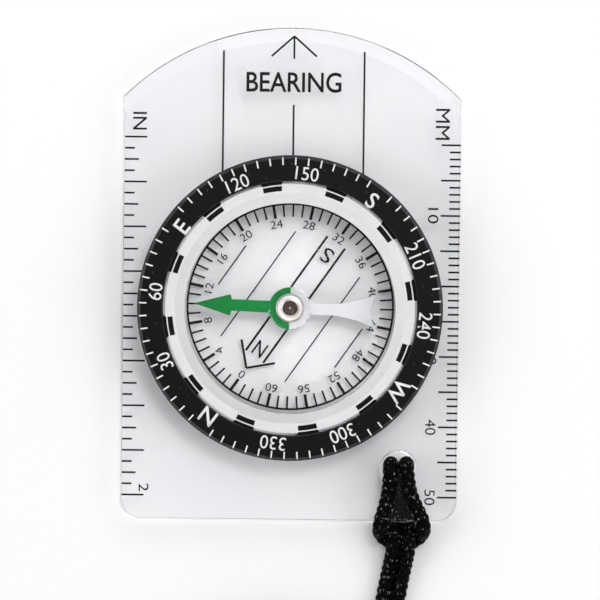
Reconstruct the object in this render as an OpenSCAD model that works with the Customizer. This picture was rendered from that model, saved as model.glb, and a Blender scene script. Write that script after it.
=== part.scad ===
// Baseplate compass: a clear ruler plate with a turning dial and a cord lanyard.
// +Y is the direction of travel and +Z the side that is read. The origin lies under
// the middle of the plate, on the surface that the compass rests on.

/* [Baseplate] */
// Width of the plate, across the two ruler edges
plate_w = 48; // [40:0.5:70]
// Length of the plate, from the bottom edge to the crown of the top arc
plate_l = 70; // [62:0.5:110]
// Thickness of the plate
plate_t = 1.8; // [1.4:0.1:3]
// Rise of the arched top edge over its two side corners
top_rise = 10; // [4:0.5:16]
// Radius of the two bottom corners
corner_r = 3; // [1:0.25:6]
// Width of the bevel along the arched top edge
top_bevel_w = 2; // [0.5:0.1:3]
// Depth of the bevel along the arched top edge
top_bevel_h = 0.8; // [0.3:0.1:0.9]
// Chamfer that breaks the plate's straight edges
edge_chamfer = 0.25; // [0.1:0.05:0.4]
// Distance of the bezel ring from the bottom edge
ring_from_bottom = 8.8; // [8:0.2:24]
// Height of the plate's underside over the surface that the dial's floor rests on
stand_off = 2.2; // [2.1:0.1:3]

/* [Lanyard hole] */
// Diameter of the hole that the lanyard is hitched through
lanyard_hole_d = 4.9; // [4.7:0.1:6]
// Distance of the hole's axis from the right edge
hole_from_side = 8.3; // [7:0.1:9]
// Distance of the hole's axis from the bottom edge
hole_from_bottom = 7.5; // [7.5:0.1:7.8]
// Rounding chamfer at both mouths of the hole
hole_chamfer = 0.3; // [0.1:0.05:0.5]

/* [Bezel ring] */
// Outside diameter of the bezel ring
ring_od = 43.2; // [36:0.2:52]
// Width of the ring's band, from its bore to its outside
ring_w = 3.65; // [3:0.05:4.5]
// Height of the ring
ring_h = 3.4; // [2.8:0.1:4.5]
// Width of the bevel round the ring's outer edge
ring_bevel_w = 0.5; // [0.2:0.05:1]
// Depth of the bevel round the ring's outer edge
ring_bevel_h = 0.9; // [0.3:0.05:1.5]
// Chamfer at the ring's inner edge
ring_lip = 0.15; // [0.05:0.05:0.3]
// Chamfer round the foot of the ring
ring_foot = 0.2; // [0.1:0.05:0.4]

/* [Key tabs and snap fingers] */
// Number of key tabs, each with a snap finger below it
tab_count = 12; // [6:1:14]
// Arc that each tab and its finger span, in degrees
tab_arc = 9.8; // [7:0.2:12]
// How far each tab reaches into the ring's bore
tab_reach = 0.45; // [0.3:0.05:0.6]
// Thickness of the snap finger's leg
finger_t = 0.75; // [0.6:0.05:1]
// Grip of each finger's barb beyond the rim of the plate's opening
barb_grip = 0.55; // [0.3:0.05:0.7]
// Height of the barb, with its sloped nose
barb_h = 1.2; // [0.8:0.1:1.6]
// Height of the barb's blunt edge, over its sloped nose
barb_edge = 0.3; // [0.2:0.05:0.5]
// Blunt step at the tip of the barb's nose
nose_step = 0.1; // [0.05:0.05:0.2]
// Thickness of the wall between each stake and the tab behind it
web_t = 0.2; // [0.15:0.05:0.3]
// How far each stake stands below the top of the flange
stake_sink = 0.1; // [0.05:0.05:0.3]
// Width of the stake that locks the capsule's flange
stake_w = 0.55; // [0.4:0.05:0.6]
// Arc that each stake spans, in degrees
stake_arc = 9; // [6:0.2:9.2]

/* [Capsule] */
// Thickness of the capsule's round wall
wall_t = 1.5; // [1.2:0.1:2]
// Thickness of the capsule's floor
floor_t = 1; // [0.8:0.1:1.4]
// Thickness of the flange that is keyed to the ring
flange_t = 1; // [0.8:0.1:1.2]
// Height of the flange's seat over the ring's underside
seat_h = 2.1; // [1.6:0.1:2.2]
// Rise of the lid's window over the flange
lid_rise = 1; // [0.6:0.1:1.6]
// Width of the sloped edge round the lid's window
lid_slope_w = 1.4; // [0.8:0.1:2]
// Thickness of the lid's window
lid_t = 1; // [0.8:0.1:1.3]
// Radius of the boss under the lid that keeps the needle on its pivot
lid_boss_r = 3; // [2.4:0.1:3.4]
// Width of the tongue and groove between bowl and lid
tongue_w = 0.6; // [0.4:0.05:0.7]
// Height of the tongue
tongue_h = 0.5; // [0.3:0.05:0.6]
// Radius between the stakes and the foot of the lid's slope
slope_margin = 0.4; // [0.3:0.05:0.6]
// Chamfer at the bowl's foot, round its floor and round its post
bowl_chamfer = 0.3; // [0.1:0.05:0.4]
// Chamfer round the flange's rim
flange_chamfer = 0.15; // [0.05:0.05:0.3]
// Chamfer round the boss under the lid
boss_chamfer = 0.2; // [0.1:0.05:0.3]

/* [Pivot] */
// Radius of the steel pivot pin
pin_r = 0.5; // [0.4:0.05:0.6]
// Height of the pin's point over the capsule's floor
pin_h = 3.75; // [3.4:0.05:4.2]
// Length of the pin's tapered point
pin_taper = 1.15; // [0.9:0.05:1.4]
// Radius of the post on the floor that holds the pin
post_r = 1.5; // [1.2:0.1:2]
// Height of that post
post_h = 1; // [0.6:0.1:1.2]

/* [Needle] */
// Gap between the needle's north tip and the capsule's wall
tip_gap = 1.3; // [0.8:0.1:3]
// Gap between the needle's fishtail and the capsule's wall
tail_gap = 2; // [1:0.1:3]
// Thickness of the needle's vane
vane_t = 0.4; // [0.3:0.05:0.5]
// Length of the arrowhead
head_l = 5.1; // [4:0.1:6.5]
// Width of the arrowhead
head_w = 3; // [2.2:0.1:4]
// Width of the needle's stem beside the arrowhead
stem_tip_w = 1.6; // [1.1:0.1:2]
// Width of the needle's stem beside the hub
stem_hub_w = 1.7; // [1.4:0.1:2.4]
// How far the arrowhead's two corners are raked towards its tip
head_rake = 0.2; // [0:0.05:0.6]
// Radius of the vane's round eye
eye_r = 2.9; // [2.6:0.1:3.6]
// Width across the fishtail's two points
tail_w = 5.7; // [4:0.1:7]
// Depth of the hollow at the fishtail's end
tail_hollow = 1.5; // [0.6:0.1:2.2]
// Length of the flared part of the fishtail
tail_flare_l = 7.5; // [5:0.1:8.5]
// Length of the magnet bar under the vane
magnet_l = 15; // [10:0.5:18]
// Width of the magnet bar
magnet_w = 1.3; // [0.8:0.1:1.4]
// Thickness of the magnet bar
magnet_t = 0.5; // [0.3:0.1:0.7]
// Radius of the magnet's eye round the bearing cup
magnet_eye_r = 2.4; // [2:0.1:2.5]

/* [Bearing cup] */
// Radius of the cup's round head
cup_r = 2; // [1.7:0.05:2.3]
// Height of the cup's head
cup_head_h = 0.9; // [0.7:0.05:1.1]
// Radius of the cup's barrel, which the vane is pressed onto
barrel_r = 1.5; // [1.3:0.05:1.6]
// Radius of the jewel in the cup
jewel_r = 1.04; // [0.95:0.01:1.1]
// Height of the jewel
jewel_h = 1; // [0.8:0.05:1.1]
// Width of the shoulder that the jewel stands on
jewel_seat = 0.2; // [0.1:0.05:0.3]
// Chamfer round the cup's head
cup_chamfer = 0.25; // [0.1:0.05:0.4]
// Chamfer round the jewel's top
jewel_chamfer = 0.15; // [0.05:0.05:0.3]
// Depth of the jewel below the rim of the cup
jewel_recess = 0.2; // [0.1:0.05:0.3]
// Depth of the jewel's hollow, which turns on the pin's point
jewel_hollow = 0.7; // [0.5:0.05:0.8]

/* [Fits] */
// Play of the dial along its axis, over and under the plate
axial_play = 0.1; // [0.05:0.01:0.2]
// Radial clearance between the snap fingers and the plate's opening
bearing_fit = 0.1; // [0.05:0.01:0.1]
// Clearance between the capsule's flange and the ring, its tabs and its stakes
key_fit = 0.05; // [0.03:0.01:0.1]
// Gap behind each finger, which lets it flex as it snaps in
flex_gap = 0.25; // [0.15:0.05:0.4]
// Gap between the needle's cup and the lid's boss
lift_gap = 0.3; // [0.15:0.05:0.5]
// Clearance between the pin's point and the jewel's hollow
point_fit = 0.05; // [0.03:0.01:0.1]

/* [Lanyard] */
// Diameter of the braided cord
cord_d = 2; // [1.6:0.1:2.1]
// Radius of the coil at the middle of its outermost turn
coil_r = 15.3; // [14:0.1:17]
// Turns of each cord in the coil
coil_turns = 3.5; // [2.5:0.5:3.5]
// Radius of the bend that leads each cord out of the coil and into the knot
lead_bend_r = 4; // [3.5:0.1:4.5]
// Diameter of the knot that joins the two ends
knot_d = 5.5; // [4.6:0.1:5.8]
// Length of the knot
knot_l = 6.5; // [5:0.1:7]
// Length of the two tails beyond the knot
tail_l = 2; // [1:0.25:2.5]

/* [Rest pose] */
// Direction of the dial's north mark, in degrees from +X
dial_north = 234; // [0:1:360]
// Direction of the needle's north tip, in degrees from +X
needle_north = 178; // [0:1:360]

/* [Hidden] */
$fn = 96;
eps = 0.01;

// Plate and dial centre
ring_r = ring_od / 2;
pivot_y = ring_from_bottom + ring_r - plate_l / 2;
plate_z1 = stand_off + plate_t;
arc_r = (pow(plate_w / 2, 2) + pow(top_rise, 2)) / (2 * top_rise);
hole_x = plate_w / 2 - hole_from_side;
hole_y = hole_from_bottom - plate_l / 2;

// Radii of the dial, from the ring's outside inwards
bore_r = ring_r - ring_w;
tab_r = bore_r - tab_reach;
finger_out_r = tab_r - web_t;
finger_in_r = finger_out_r - finger_t;
opening_r = finger_out_r + bearing_fit;
barb_r = opening_r + barb_grip;
flange_r = bore_r - key_fit;
capsule_r = finger_in_r - flex_gap;
cavity_r = capsule_r - wall_t;
stake_r = finger_out_r - 2 * key_fit - stake_w;
tongue_r = cavity_r + (wall_t - tongue_w) / 2;
lid_edge_r = stake_r - slope_margin;

// Heights of the dial, from the ring's underside upwards
ring_z0 = plate_z1 + axial_play;
ring_z1 = ring_z0 + ring_h;
flange_z0 = ring_z0 + seat_h;
flange_z1 = flange_z0 + flange_t;
lid_z1 = flange_z1 + lid_rise;
lid_z0 = lid_z1 - lid_t;
barb_z1 = stand_off - axial_play;
tab_z1 = ring_z1 - ring_lip;
root_r = bore_r + 1;
root_z1 = tab_z1 - 0.5;
tab_step = 360 / tab_count;

// Heights of the pivot and the needle
point_z = floor_t + pin_h;
pin_z0 = 0.3;
point_r = 0.06;
apex_r = 0.1;
hollow_r = jewel_r - jewel_seat - 0.04;
jewel_apex_z = point_z + point_fit;
jewel_z0 = jewel_apex_z - jewel_hollow;
cup_z1 = jewel_z0 + jewel_h + jewel_recess;
vane_z1 = cup_z1 - cup_head_h;
vane_z0 = vane_z1 - vane_t;
magnet_z0 = vane_z0 - magnet_t;
boss_z0 = cup_z1 + lift_gap;

// Reach of the needle
tip_r = cavity_r - tip_gap;
tail_r = cavity_r - tail_gap;

// Levels of the cord's middle line: on the plate, behind it and on the surface
cord_r = cord_d / 2;
cord_gap = 0.1;
cord_front = plate_z1 + cord_r + cord_gap;
cord_back = stand_off - cord_r - cord_gap;
cord_low = cord_r + 0.05;
rim_top = plate_z1;
rim_mid = plate_z1 - plate_t / 2;
rim_low = stand_off;

// Coil beside the plate's bottom edge, measured from the lanyard hole
coil_x = -16.7;
coil_y = -36.5;
coil_pitch = cord_d + 0.05;
coil_in_r = coil_r - coil_turns * coil_pitch;
cord_high = cord_low + coil_pitch;
lead_turn = 120;

// Route of the first cord from inside the hole: over the plate, round the bight, back
// through the hole, behind the plate, up through the bight and down to the coil
cord_a_route = [
  [-1.1, 0.8, rim_mid], [-1.1, 0.7, rim_top], [-1.1, 0.3, rim_top + 0.8],
  [-1.2, -0.7, cord_front], [-1.4, -3, cord_front], [-1.8, -5, cord_front],
  [-2.3, -6.6, cord_front], [-2.5, -7.6, rim_top + 1], [-2.55, -8.4, rim_top + 0.4],
  [-2.55, -8.7, 3.4], [-2.5, -9, 2.3], [-2.2, -9.6, 1.4], [-1.4, -10.3, 1.1],
  [-0.5, -10.55, cord_low], [0.5, -10.6, cord_low], [1.5, -10.55, cord_low],
  [2.4, -10.3, 1.1], [3.2, -9.6, 1.4], [3.5, -9, 2.3], [3.55, -8.7, 3.4],
  [3.55, -8.4, rim_top + 0.4], [3.5, -7.6, rim_top + 1], [3.2, -6.6, cord_front],
  [2.4, -5, cord_front], [1.6, -3, cord_front], [1.2, -0.7, cord_front],
  [1.1, 0.3, rim_top + 0.8], [1.1, 0.7, rim_top], [1.1, 0.8, rim_mid],
  [1.1, 0.7, rim_low], [1.1, 0.1, rim_low - 0.8], [1.15, -1.1, cord_back],
  [1.3, -4, cord_back], [1.5, -7, cord_back], [1.5, -7.9, 1.2], [1.5, -8.5, 1.7],
  [1.5, -9, 2.5], [1.5, -9.6, 3.05], [1.5, -10.5, 3.2], [1.4, -11.7, 2.9],
  [1.2, -13, 2.1], [0.9, -14.6, 1.3], [0.2, -18.5, cord_low], [-0.5, -22.5, cord_low],
  [-0.95, -26.5, cord_low], [-1.25, -30.5, cord_low]];

// Route of the second cord: from the hole behind the plate, through the bight and down
cord_b_route = [
  [-1.1, 0.8, rim_mid], [-1.1, 0.7, rim_low], [-1.1, 0.1, rim_low - 0.8],
  [-1.1, -1.1, cord_back], [-0.9, -4, cord_back], [-0.55, -7, cord_back],
  [-0.55, -7.9, 1.2], [-0.55, -8.5, 1.7], [-0.55, -9, 2.5], [-0.55, -9.6, 3.05],
  [-0.55, -10.5, 3.2], [-0.65, -11.7, 2.9], [-0.85, -13, 2.1], [-1.15, -14.6, 1.3],
  [-1.9, -18.5, cord_low], [-2.2, -21, 1.7], [-2.3, -23.5, 2.7], [-2.2, -26, cord_high],
  [-1.6, -30.5, cord_high]];

// ---- Shared forms ----

// Sector of a ring, centred on +X
module sector(r0, r1, z0, z1, arc) {
  rotate([0, 0, -arc / 2])
    rotate_extrude(angle = arc)
      translate([r0, z0]) square([r1 - r0, z1 - z0]);
}

// Puts its children at the dial's axis, turned so that +X is the given direction
module on_dial(direction) {
  translate([0, pivot_y, 0]) rotate([0, 0, direction]) children();
}

// Repeats its children at every key tab, the first one half a step from north
module at_tabs() {
  for (i = [0 : tab_count - 1]) rotate([0, 0, (i + 0.5) * tab_step]) children();
}

// Section of the plate across one pair of edges, with all four corners broken
module plate_section(width, height, chamfer) {
  polygon([
    [-width / 2, chamfer], [-width / 2 + chamfer, 0], [width / 2 - chamfer, 0],
    [width / 2, chamfer], [width / 2, height - chamfer], [width / 2 - chamfer, height],
    [-width / 2 + chamfer, height], [-width / 2, height - chamfer]]);
}

// ---- Swept cord ----

function unit(v) = v / norm(v);
function tangent(path, i) =
  unit(path[min(i + 1, len(path) - 1)] - path[max(i - 1, 0)]);
function across(v, t) = unit(v - t * (v * t));
function side_vectors(path) = [
  for (i = 0, v = across([1, 0, 0], tangent(path, 0)); i < len(path);
       i = i + 1, v = across(v, tangent(path, min(i, len(path) - 1)))) v];

// Tube along a route, one ring of corners at each of its points
module tube(path, r, sides = 8) {
  sv = side_vectors(path);
  n = len(path);
  corners = [for (i = [0 : n - 1], k = [0 : sides - 1])
    let (u = sv[i], w = cross(tangent(path, i), u), a = 360 * k / sides)
      path[i] + r * (cos(a) * u + sin(a) * w)];
  walls = [for (i = [0 : n - 2], k = [0 : sides - 1])
    let (a = i * sides + k, b = i * sides + (k + 1) % sides)
      [a, a + sides, b + sides, b]];
  start = [for (k = [0 : sides - 1]) k];
  end = [for (k = [sides - 1 : -1 : 0]) (n - 1) * sides + k];
  polyhedron(corners, concat([start], walls, [end]), convexity = 8);
}

// ---- Baseplate ----

// Rounds off one bottom corner, chamfers included
module corner_cut() {
  difference() {
    translate([0, -corner_r - 1, -1]) cube([corner_r + 1, corner_r + 1, plate_t + 2]);
    rotate_extrude() polygon([
      [0, 0], [corner_r - edge_chamfer, 0], [corner_r, edge_chamfer],
      [corner_r, plate_t - edge_chamfer], [corner_r - edge_chamfer, plate_t], [0, plate_t]]);
  }
}

// Disc whose rim is the plate's arched top edge, bevelled on its upper side
module top_arc() {
  translate([0, plate_l / 2 - arc_r, 0]) rotate_extrude($fn = 180) polygon([
    [0, 0], [arc_r - edge_chamfer, 0], [arc_r, edge_chamfer], [arc_r, plate_t - top_bevel_h],
    [arc_r - top_bevel_w, plate_t], [0, plate_t]]);
}

// The arc's disc carried on down to the bottom edge
module plate_blank() {
  intersection() {
    rotate([90, 0, 0]) translate([0, 0, -plate_l]) linear_extrude(2 * plate_l)
      plate_section(plate_w, plate_t, edge_chamfer);
    union() {
      top_arc();
      rotate([90, 0, 90]) translate([0, 0, -plate_w]) linear_extrude(2 * plate_w)
        difference() {
          translate([-top_rise / 2, 0])
            plate_section(plate_l - top_rise, plate_t, edge_chamfer);
          translate([plate_l / 2 - top_rise - 2, -1]) square([top_rise, plate_t + 2]);
        }
    }
  }
}

// Round hole through the plate, chamfered at both mouths
module plate_hole(r, chamfer) {
  translate([0, 0, -1]) cylinder(r = r, h = plate_t + 2);
  translate([0, 0, -eps]) cylinder(r1 = r + chamfer + eps, r2 = r, h = chamfer + eps);
  translate([0, 0, plate_t - chamfer])
    cylinder(r1 = r, r2 = r + chamfer + eps, h = chamfer + eps);
}

module baseplate() {
  color([0.93, 0.94, 0.97, 0.45]) translate([0, 0, stand_off]) difference() {
    plate_blank();
    for (side = [0, 1]) mirror([side, 0, 0])
      translate([plate_w / 2 - corner_r, corner_r - plate_l / 2, 0]) corner_cut();
    translate([0, pivot_y, 0]) plate_hole(opening_r, edge_chamfer);
    translate([hole_x, hole_y, 0]) plate_hole(lanyard_hole_d / 2, hole_chamfer);
  }
}

// ---- Bezel ring ----

// Key tab, flange seat, leg and barb of one snap finger, in one moulding
module snap_finger() {
  rotate([0, 0, -tab_arc / 2]) rotate_extrude(angle = tab_arc) polygon([
    [finger_in_r, barb_z1 - barb_h], [finger_out_r - nose_step, barb_z1 - barb_h],
    [barb_r, barb_z1 - barb_edge], [barb_r, barb_z1], [finger_out_r, barb_z1],
    [finger_out_r, ring_z0], [root_r, ring_z0], [root_r, root_z1],
    [tab_r, root_z1], [tab_r, flange_z0], [finger_in_r, flange_z0]]);
}

// Stake that stands up through the flange's window
module stake() {
  sector(stake_r, stake_r + stake_w, barb_z1, flange_z1 - stake_sink, stake_arc);
}

// Band of the ring
module ring_band() {
  rotate_extrude() polygon([
    [bore_r, ring_z0], [ring_r - ring_foot, ring_z0], [ring_r, ring_z0 + ring_foot],
    [ring_r, ring_z1 - ring_bevel_h], [ring_r - ring_bevel_w, ring_z1],
    [bore_r + ring_lip, ring_z1], [bore_r, ring_z1 - ring_lip]]);
}

module bezel_ring() {
  color([0.13, 0.13, 0.14]) on_dial(dial_north) {
    ring_band();
    at_tabs() {
      snap_finger();
      stake();
    }
  }
}

// ---- Capsule ----

module capsule_bowl() {
  color([0.95, 0.96, 0.98, 0.4]) on_dial(dial_north) rotate_extrude() polygon([
    [0, 0], [capsule_r - bowl_chamfer, 0], [capsule_r, bowl_chamfer], [capsule_r, flange_z0],
    [tongue_r + tongue_w, flange_z0], [tongue_r + tongue_w, flange_z0 + tongue_h],
    [tongue_r, flange_z0 + tongue_h], [tongue_r, flange_z0], [cavity_r, flange_z0],
    [cavity_r, floor_t + bowl_chamfer], [cavity_r - bowl_chamfer, floor_t],
    [post_r + bowl_chamfer, floor_t], [post_r, floor_t + bowl_chamfer],
    [post_r, floor_t + post_h], [pin_r, floor_t + post_h],
    [pin_r, pin_z0], [0, pin_z0]]);
}

// Section of the lid, from the boss at its middle to the flange's rim
module lid_section() {
  polygon([
    [0, boss_z0], [lid_boss_r - boss_chamfer, boss_z0], [lid_boss_r, boss_z0 + boss_chamfer],
    [lid_boss_r, lid_z0], [cavity_r, lid_z0], [cavity_r, flange_z0],
    [tongue_r - key_fit, flange_z0], [tongue_r - key_fit, flange_z0 + tongue_h + key_fit],
    [tongue_r + tongue_w + key_fit, flange_z0 + tongue_h + key_fit],
    [tongue_r + tongue_w + key_fit, flange_z0], [flange_r, flange_z0],
    [flange_r, flange_z1 - flange_chamfer], [flange_r - flange_chamfer, flange_z1],
    [lid_edge_r, flange_z1],
    [lid_edge_r - lid_slope_w, lid_z1], [0, lid_z1]]);
}

// Extra arc, in degrees, that gives a cut its clearance on both flanks
fit_arc = 2 * key_fit / flange_r * 180 / PI;

module capsule_lid() {
  color([0.95, 0.96, 0.98, 0.4]) on_dial(dial_north) difference() {
    rotate_extrude() lid_section();
    at_tabs() {
      sector(stake_r - key_fit, stake_r + stake_w + key_fit, flange_z0 - 1, flange_z1 + 1,
             stake_arc + fit_arc);
      sector(tab_r - key_fit, flange_r + 1, flange_z0 - 1, flange_z1 + 1, tab_arc + fit_arc);
    }
  }
}

// ---- Pivot and needle ----

module pivot_pin() {
  color("silver") on_dial(dial_north) rotate_extrude($fn = 48) polygon([
    [0, pin_z0], [pin_r, pin_z0], [pin_r, point_z - pin_taper], [point_r, point_z],
    [0, point_z]]);
}

// Half of the fishtail: its flank is an arc tangent to the stem that ends at a point
module tail_outline() {
  dx = tail_flare_l;
  dy = (tail_w - stem_tip_w) / 2;
  flare_r = (dx * dx + dy * dy) / (2 * dy);
  hollow_r = (pow(tail_w / 2, 2) + pow(tail_hollow, 2)) / (2 * tail_hollow);
  difference() {
    translate([0, -tail_w / 2]) square([tail_r, tail_w]);
    for (side = [-1, 1]) {
      translate([tail_r - dx, side * (stem_tip_w / 2 + flare_r)]) circle(flare_r, $fn = 180);
      translate([-1, side > 0 ? stem_tip_w / 2 : -stem_tip_w / 2 - tail_w])
        square([tail_r - dx + 1, tail_w]);
    }
    translate([tail_r - tail_hollow + hollow_r, 0]) circle(hollow_r, $fn = 64);
  }
}

// Outline of the vane, its north tip on +X
module vane_outline() {
  neck = tip_r - head_l;
  polygon([
    [0, -stem_hub_w / 2], [neck - head_rake, -stem_tip_w / 2], [neck, -head_w / 2],
    [tip_r, 0], [neck, head_w / 2], [neck - head_rake, stem_tip_w / 2],
    [0, stem_hub_w / 2]]);
  circle(eye_r, $fn = 64);
  rotate(180) tail_outline();
}

module needle_vane() {
  color([0.13, 0.56, 0.27]) on_dial(needle_north) translate([0, 0, vane_z0]) difference() {
    linear_extrude(vane_t) vane_outline();
    translate([0, 0, -1]) cylinder(r = barrel_r, h = vane_t + 2, $fn = 48);
  }
}

module needle_magnet() {
  color("dimgray") on_dial(needle_north) translate([0, 0, magnet_z0]) difference() {
    union() {
      translate([-magnet_l / 2, -magnet_w / 2, 0]) cube([magnet_l, magnet_w, magnet_t]);
      cylinder(r = magnet_eye_r, h = magnet_t, $fn = 48);
    }
    translate([0, 0, -1]) cylinder(r = barrel_r, h = magnet_t + 2, $fn = 48);
  }
}

module bearing_cup() {
  color("silver") on_dial(needle_north) rotate_extrude($fn = 64) polygon([
    [jewel_r - jewel_seat, magnet_z0], [barrel_r, magnet_z0], [barrel_r, vane_z1],
    [cup_r, vane_z1], [cup_r, cup_z1 - cup_chamfer], [cup_r - cup_chamfer, cup_z1],
    [jewel_r, cup_z1],
    [jewel_r, jewel_z0], [jewel_r - jewel_seat, jewel_z0]]);
}

module bearing_jewel() {
  color("saddlebrown") on_dial(needle_north) rotate_extrude($fn = 48) polygon([
    [0, jewel_apex_z], [apex_r, jewel_apex_z], [hollow_r, jewel_z0],
    [jewel_r, jewel_z0], [jewel_r, jewel_z0 + jewel_h - jewel_chamfer],
    [jewel_r - jewel_chamfer, jewel_z0 + jewel_h], [0, jewel_z0 + jewel_h]]);
}

// ---- Lanyard ----

// Puts its children at the lanyard hole's axis
module at_hole() {
  translate([hole_x, hole_y, 0]) children();
}

// Puts its children at the coil's centre, turned so that the cords leave it on -X
module at_coil_end() {
  at_hole() translate([coil_x, coil_y, 0]) rotate([0, 0, 180 - 360 * coil_turns]) children();
}

// Point of the bend into the knot, after a turn of the given angle
function lead_point(turn, z) =
  [lead_bend_r * (1 - cos(turn)) - coil_in_r, lead_bend_r * sin(turn), z];

// Bend from the coil's innermost turn to the knot
function lead_route(z) = [for (turn = [40 : 20 : lead_turn]) lead_point(turn, z)];

module lanyard_cord_a() {
  color([0.06, 0.06, 0.06]) {
    at_hole() tube(cord_a_route, cord_r);
    at_coil_end() tube(lead_route(cord_low), cord_r);
  }
}

module lanyard_cord_b() {
  color([0.06, 0.06, 0.06]) {
    at_hole() tube(cord_b_route, cord_r);
    at_coil_end() tube(lead_route(cord_high), cord_r);
  }
}

// Outer shape of the two cords' coil, one flat spiral on the other
module lanyard_coil() {
  r0 = coil_in_r - cord_r;
  r1 = coil_r + cord_r + 0.05;
  h = cord_high + cord_r + 0.05;
  round_r = 0.6;
  color([0.06, 0.06, 0.06]) at_coil_end() rotate_extrude() polygon([
    [r0, round_r], [r0 + round_r, 0], [r1 - round_r, 0], [r1, round_r],
    [r1, h - round_r], [r1 - round_r, h], [r0 + round_r, h], [r0, h - round_r]]);
}

// Knot in the coil's hollow, in line with the end of the bend, with its two tails
module lanyard_knot() {
  shoulder = 0.8;
  color([0.06, 0.06, 0.06]) at_coil_end() translate(lead_point(lead_turn, 0))
    rotate([0, 90, 90 - lead_turn]) {
      translate([-knot_d / 2, 0, 0]) rotate_extrude($fn = 48) polygon([
        [0, 0], [knot_d / 2 - shoulder, 0], [knot_d / 2, shoulder],
        [knot_d / 2, knot_l - shoulder], [knot_d / 2 - shoulder, knot_l], [0, knot_l]]);
      for (z = [cord_low, cord_high]) translate([-z, 0, knot_l])
        cylinder(d = cord_d - 0.1, h = tail_l, $fn = 24);
    }
}

baseplate();
bezel_ring();
capsule_bowl();
capsule_lid();
pivot_pin();
needle_vane();
needle_magnet();
bearing_cup();
bearing_jewel();
lanyard_cord_a();
lanyard_cord_b();
lanyard_coil();
lanyard_knot();
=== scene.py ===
"""Looks of a baseplate compass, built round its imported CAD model.

The plate, the ring, the bowl, the pin and the needle keep their CAD shapes and get their
finishes here. A copy of the lid, with a gap at its weld, replaces the CAD lid. The printing is
modelled as thin films of ink and the lid's frosting as a thin skin. The braided lanyard and
its knot replace their plain CAD solids. Everything is in metres, in the frame of the CAD model.
"""

import logging
import math
from collections.abc import Callable, Iterator
from contextlib import contextmanager
from dataclasses import dataclass, field
from enum import Enum

import bmesh
import bpy
from mathutils import Matrix, Vector


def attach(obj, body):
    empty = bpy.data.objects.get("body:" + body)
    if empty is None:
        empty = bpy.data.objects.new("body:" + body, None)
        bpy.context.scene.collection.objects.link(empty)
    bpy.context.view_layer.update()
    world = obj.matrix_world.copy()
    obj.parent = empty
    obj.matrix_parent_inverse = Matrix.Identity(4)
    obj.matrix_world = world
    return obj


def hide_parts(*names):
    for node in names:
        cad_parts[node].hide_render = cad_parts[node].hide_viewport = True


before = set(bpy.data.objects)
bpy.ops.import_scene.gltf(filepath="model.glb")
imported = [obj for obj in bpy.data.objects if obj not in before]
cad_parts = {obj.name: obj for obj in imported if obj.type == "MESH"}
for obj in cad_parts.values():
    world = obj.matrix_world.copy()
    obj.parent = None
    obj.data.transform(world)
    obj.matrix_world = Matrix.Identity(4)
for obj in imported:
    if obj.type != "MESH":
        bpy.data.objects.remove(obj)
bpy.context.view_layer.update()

MM = 0.001
MERGE = 1e-7
Colour = tuple[float, float, float, float]
Point = tuple[float, float, float]
Socket = bpy.types.NodeSocket
Value = bool | int | float | str | tuple | Socket
log = logging.getLogger("compass")


class Body(Enum):
    """Moving bodies of the compass."""

    PLATE = "plate"
    DIAL = "dial"
    NEEDLE = "needle"


class Slot(Enum):
    """Material slots, passed with printed pieces but not used to give them their finish."""

    BLACK_INK = "black_ink"
    WHITE_INK = "white_ink"
    CORD = "black_cord"
    CAPSULE = "clear_capsule"


@dataclass(frozen=True)
class Dial:
    """Place and rest pose of the dial and the needle, in mm and degrees from +X."""

    axis_y: float = -4.6
    north: float = 234.0
    needle_north: float = 178.0

    def heading(self, bearing: float) -> float:
        """Returns the direction, in degrees from +X, of a bearing printed on the dial."""
        return self.north - bearing

    def point(self, radius: float, direction: float, level: float = 0.0) -> Vector:
        """Returns a point in mm at a radius and a direction from the dial's axis."""
        a = math.radians(direction)
        return Vector((radius * math.cos(a), self.axis_y + radius * math.sin(a), level))


DIAL = Dial()


# ---------------------------------------------------------------- modelling with operators


def deselect_all() -> None:
    """Deselects every object."""
    bpy.ops.object.select_all(action="DESELECT")


def make_active(piece: bpy.types.Object) -> None:
    """Selects one object alone and makes it the active one.

    Args:
        piece: The object.
    """
    deselect_all()
    piece.select_set(True)
    bpy.context.view_layer.objects.active = piece


@contextmanager
def editing(piece: bpy.types.Object, mode: str = "FACE") -> Iterator[None]:
    """Opens one object in edit mode, and closes it again at the end.

    Args:
        piece: The mesh object to edit.
        mode: What can be selected: VERT, EDGE or FACE.

    Returns:
        The context, which yields nothing.
    """
    make_active(piece)
    bpy.ops.object.mode_set(mode="EDIT")
    bpy.ops.mesh.select_mode(type=mode)
    yield
    bpy.ops.object.mode_set(mode="OBJECT")


def select_faces(piece: bpy.types.Object, wanted: Callable[[Vector, Vector], bool]) -> None:
    """Selects the faces of the object in edit mode that pass a test.

    Args:
        piece: The mesh object in edit mode.
        wanted: Test of a face's middle and its normal.
    """
    mesh = bmesh.from_edit_mesh(piece.data)
    for face in mesh.faces:
        face.select_set(wanted(face.calc_center_median(), face.normal))
    mesh.select_flush_mode()
    bmesh.update_edit_mesh(piece.data)


def select_edges(piece: bpy.types.Object, wanted: Callable[[Vector], bool]) -> None:
    """Selects the edges of the object in edit mode whose middle passes a test.

    Args:
        piece: The mesh object in edit mode.
        wanted: Test of an edge's middle.
    """
    mesh = bmesh.from_edit_mesh(piece.data)
    for edge in mesh.edges:
        edge.select_set(wanted((edge.verts[0].co + edge.verts[1].co) / 2))
    mesh.select_flush_mode()
    bmesh.update_edit_mesh(piece.data)


def apply_place(piece: bpy.types.Object, place: Matrix) -> bpy.types.Object:
    """Moves an object's mesh to a place, with the object itself left at the origin.

    Args:
        piece: The object.
        place: Where its mesh goes, in metres.

    Returns:
        The same object.
    """
    piece.data.transform(place)
    piece.matrix_world = Matrix.Identity(4)
    return piece


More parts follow.
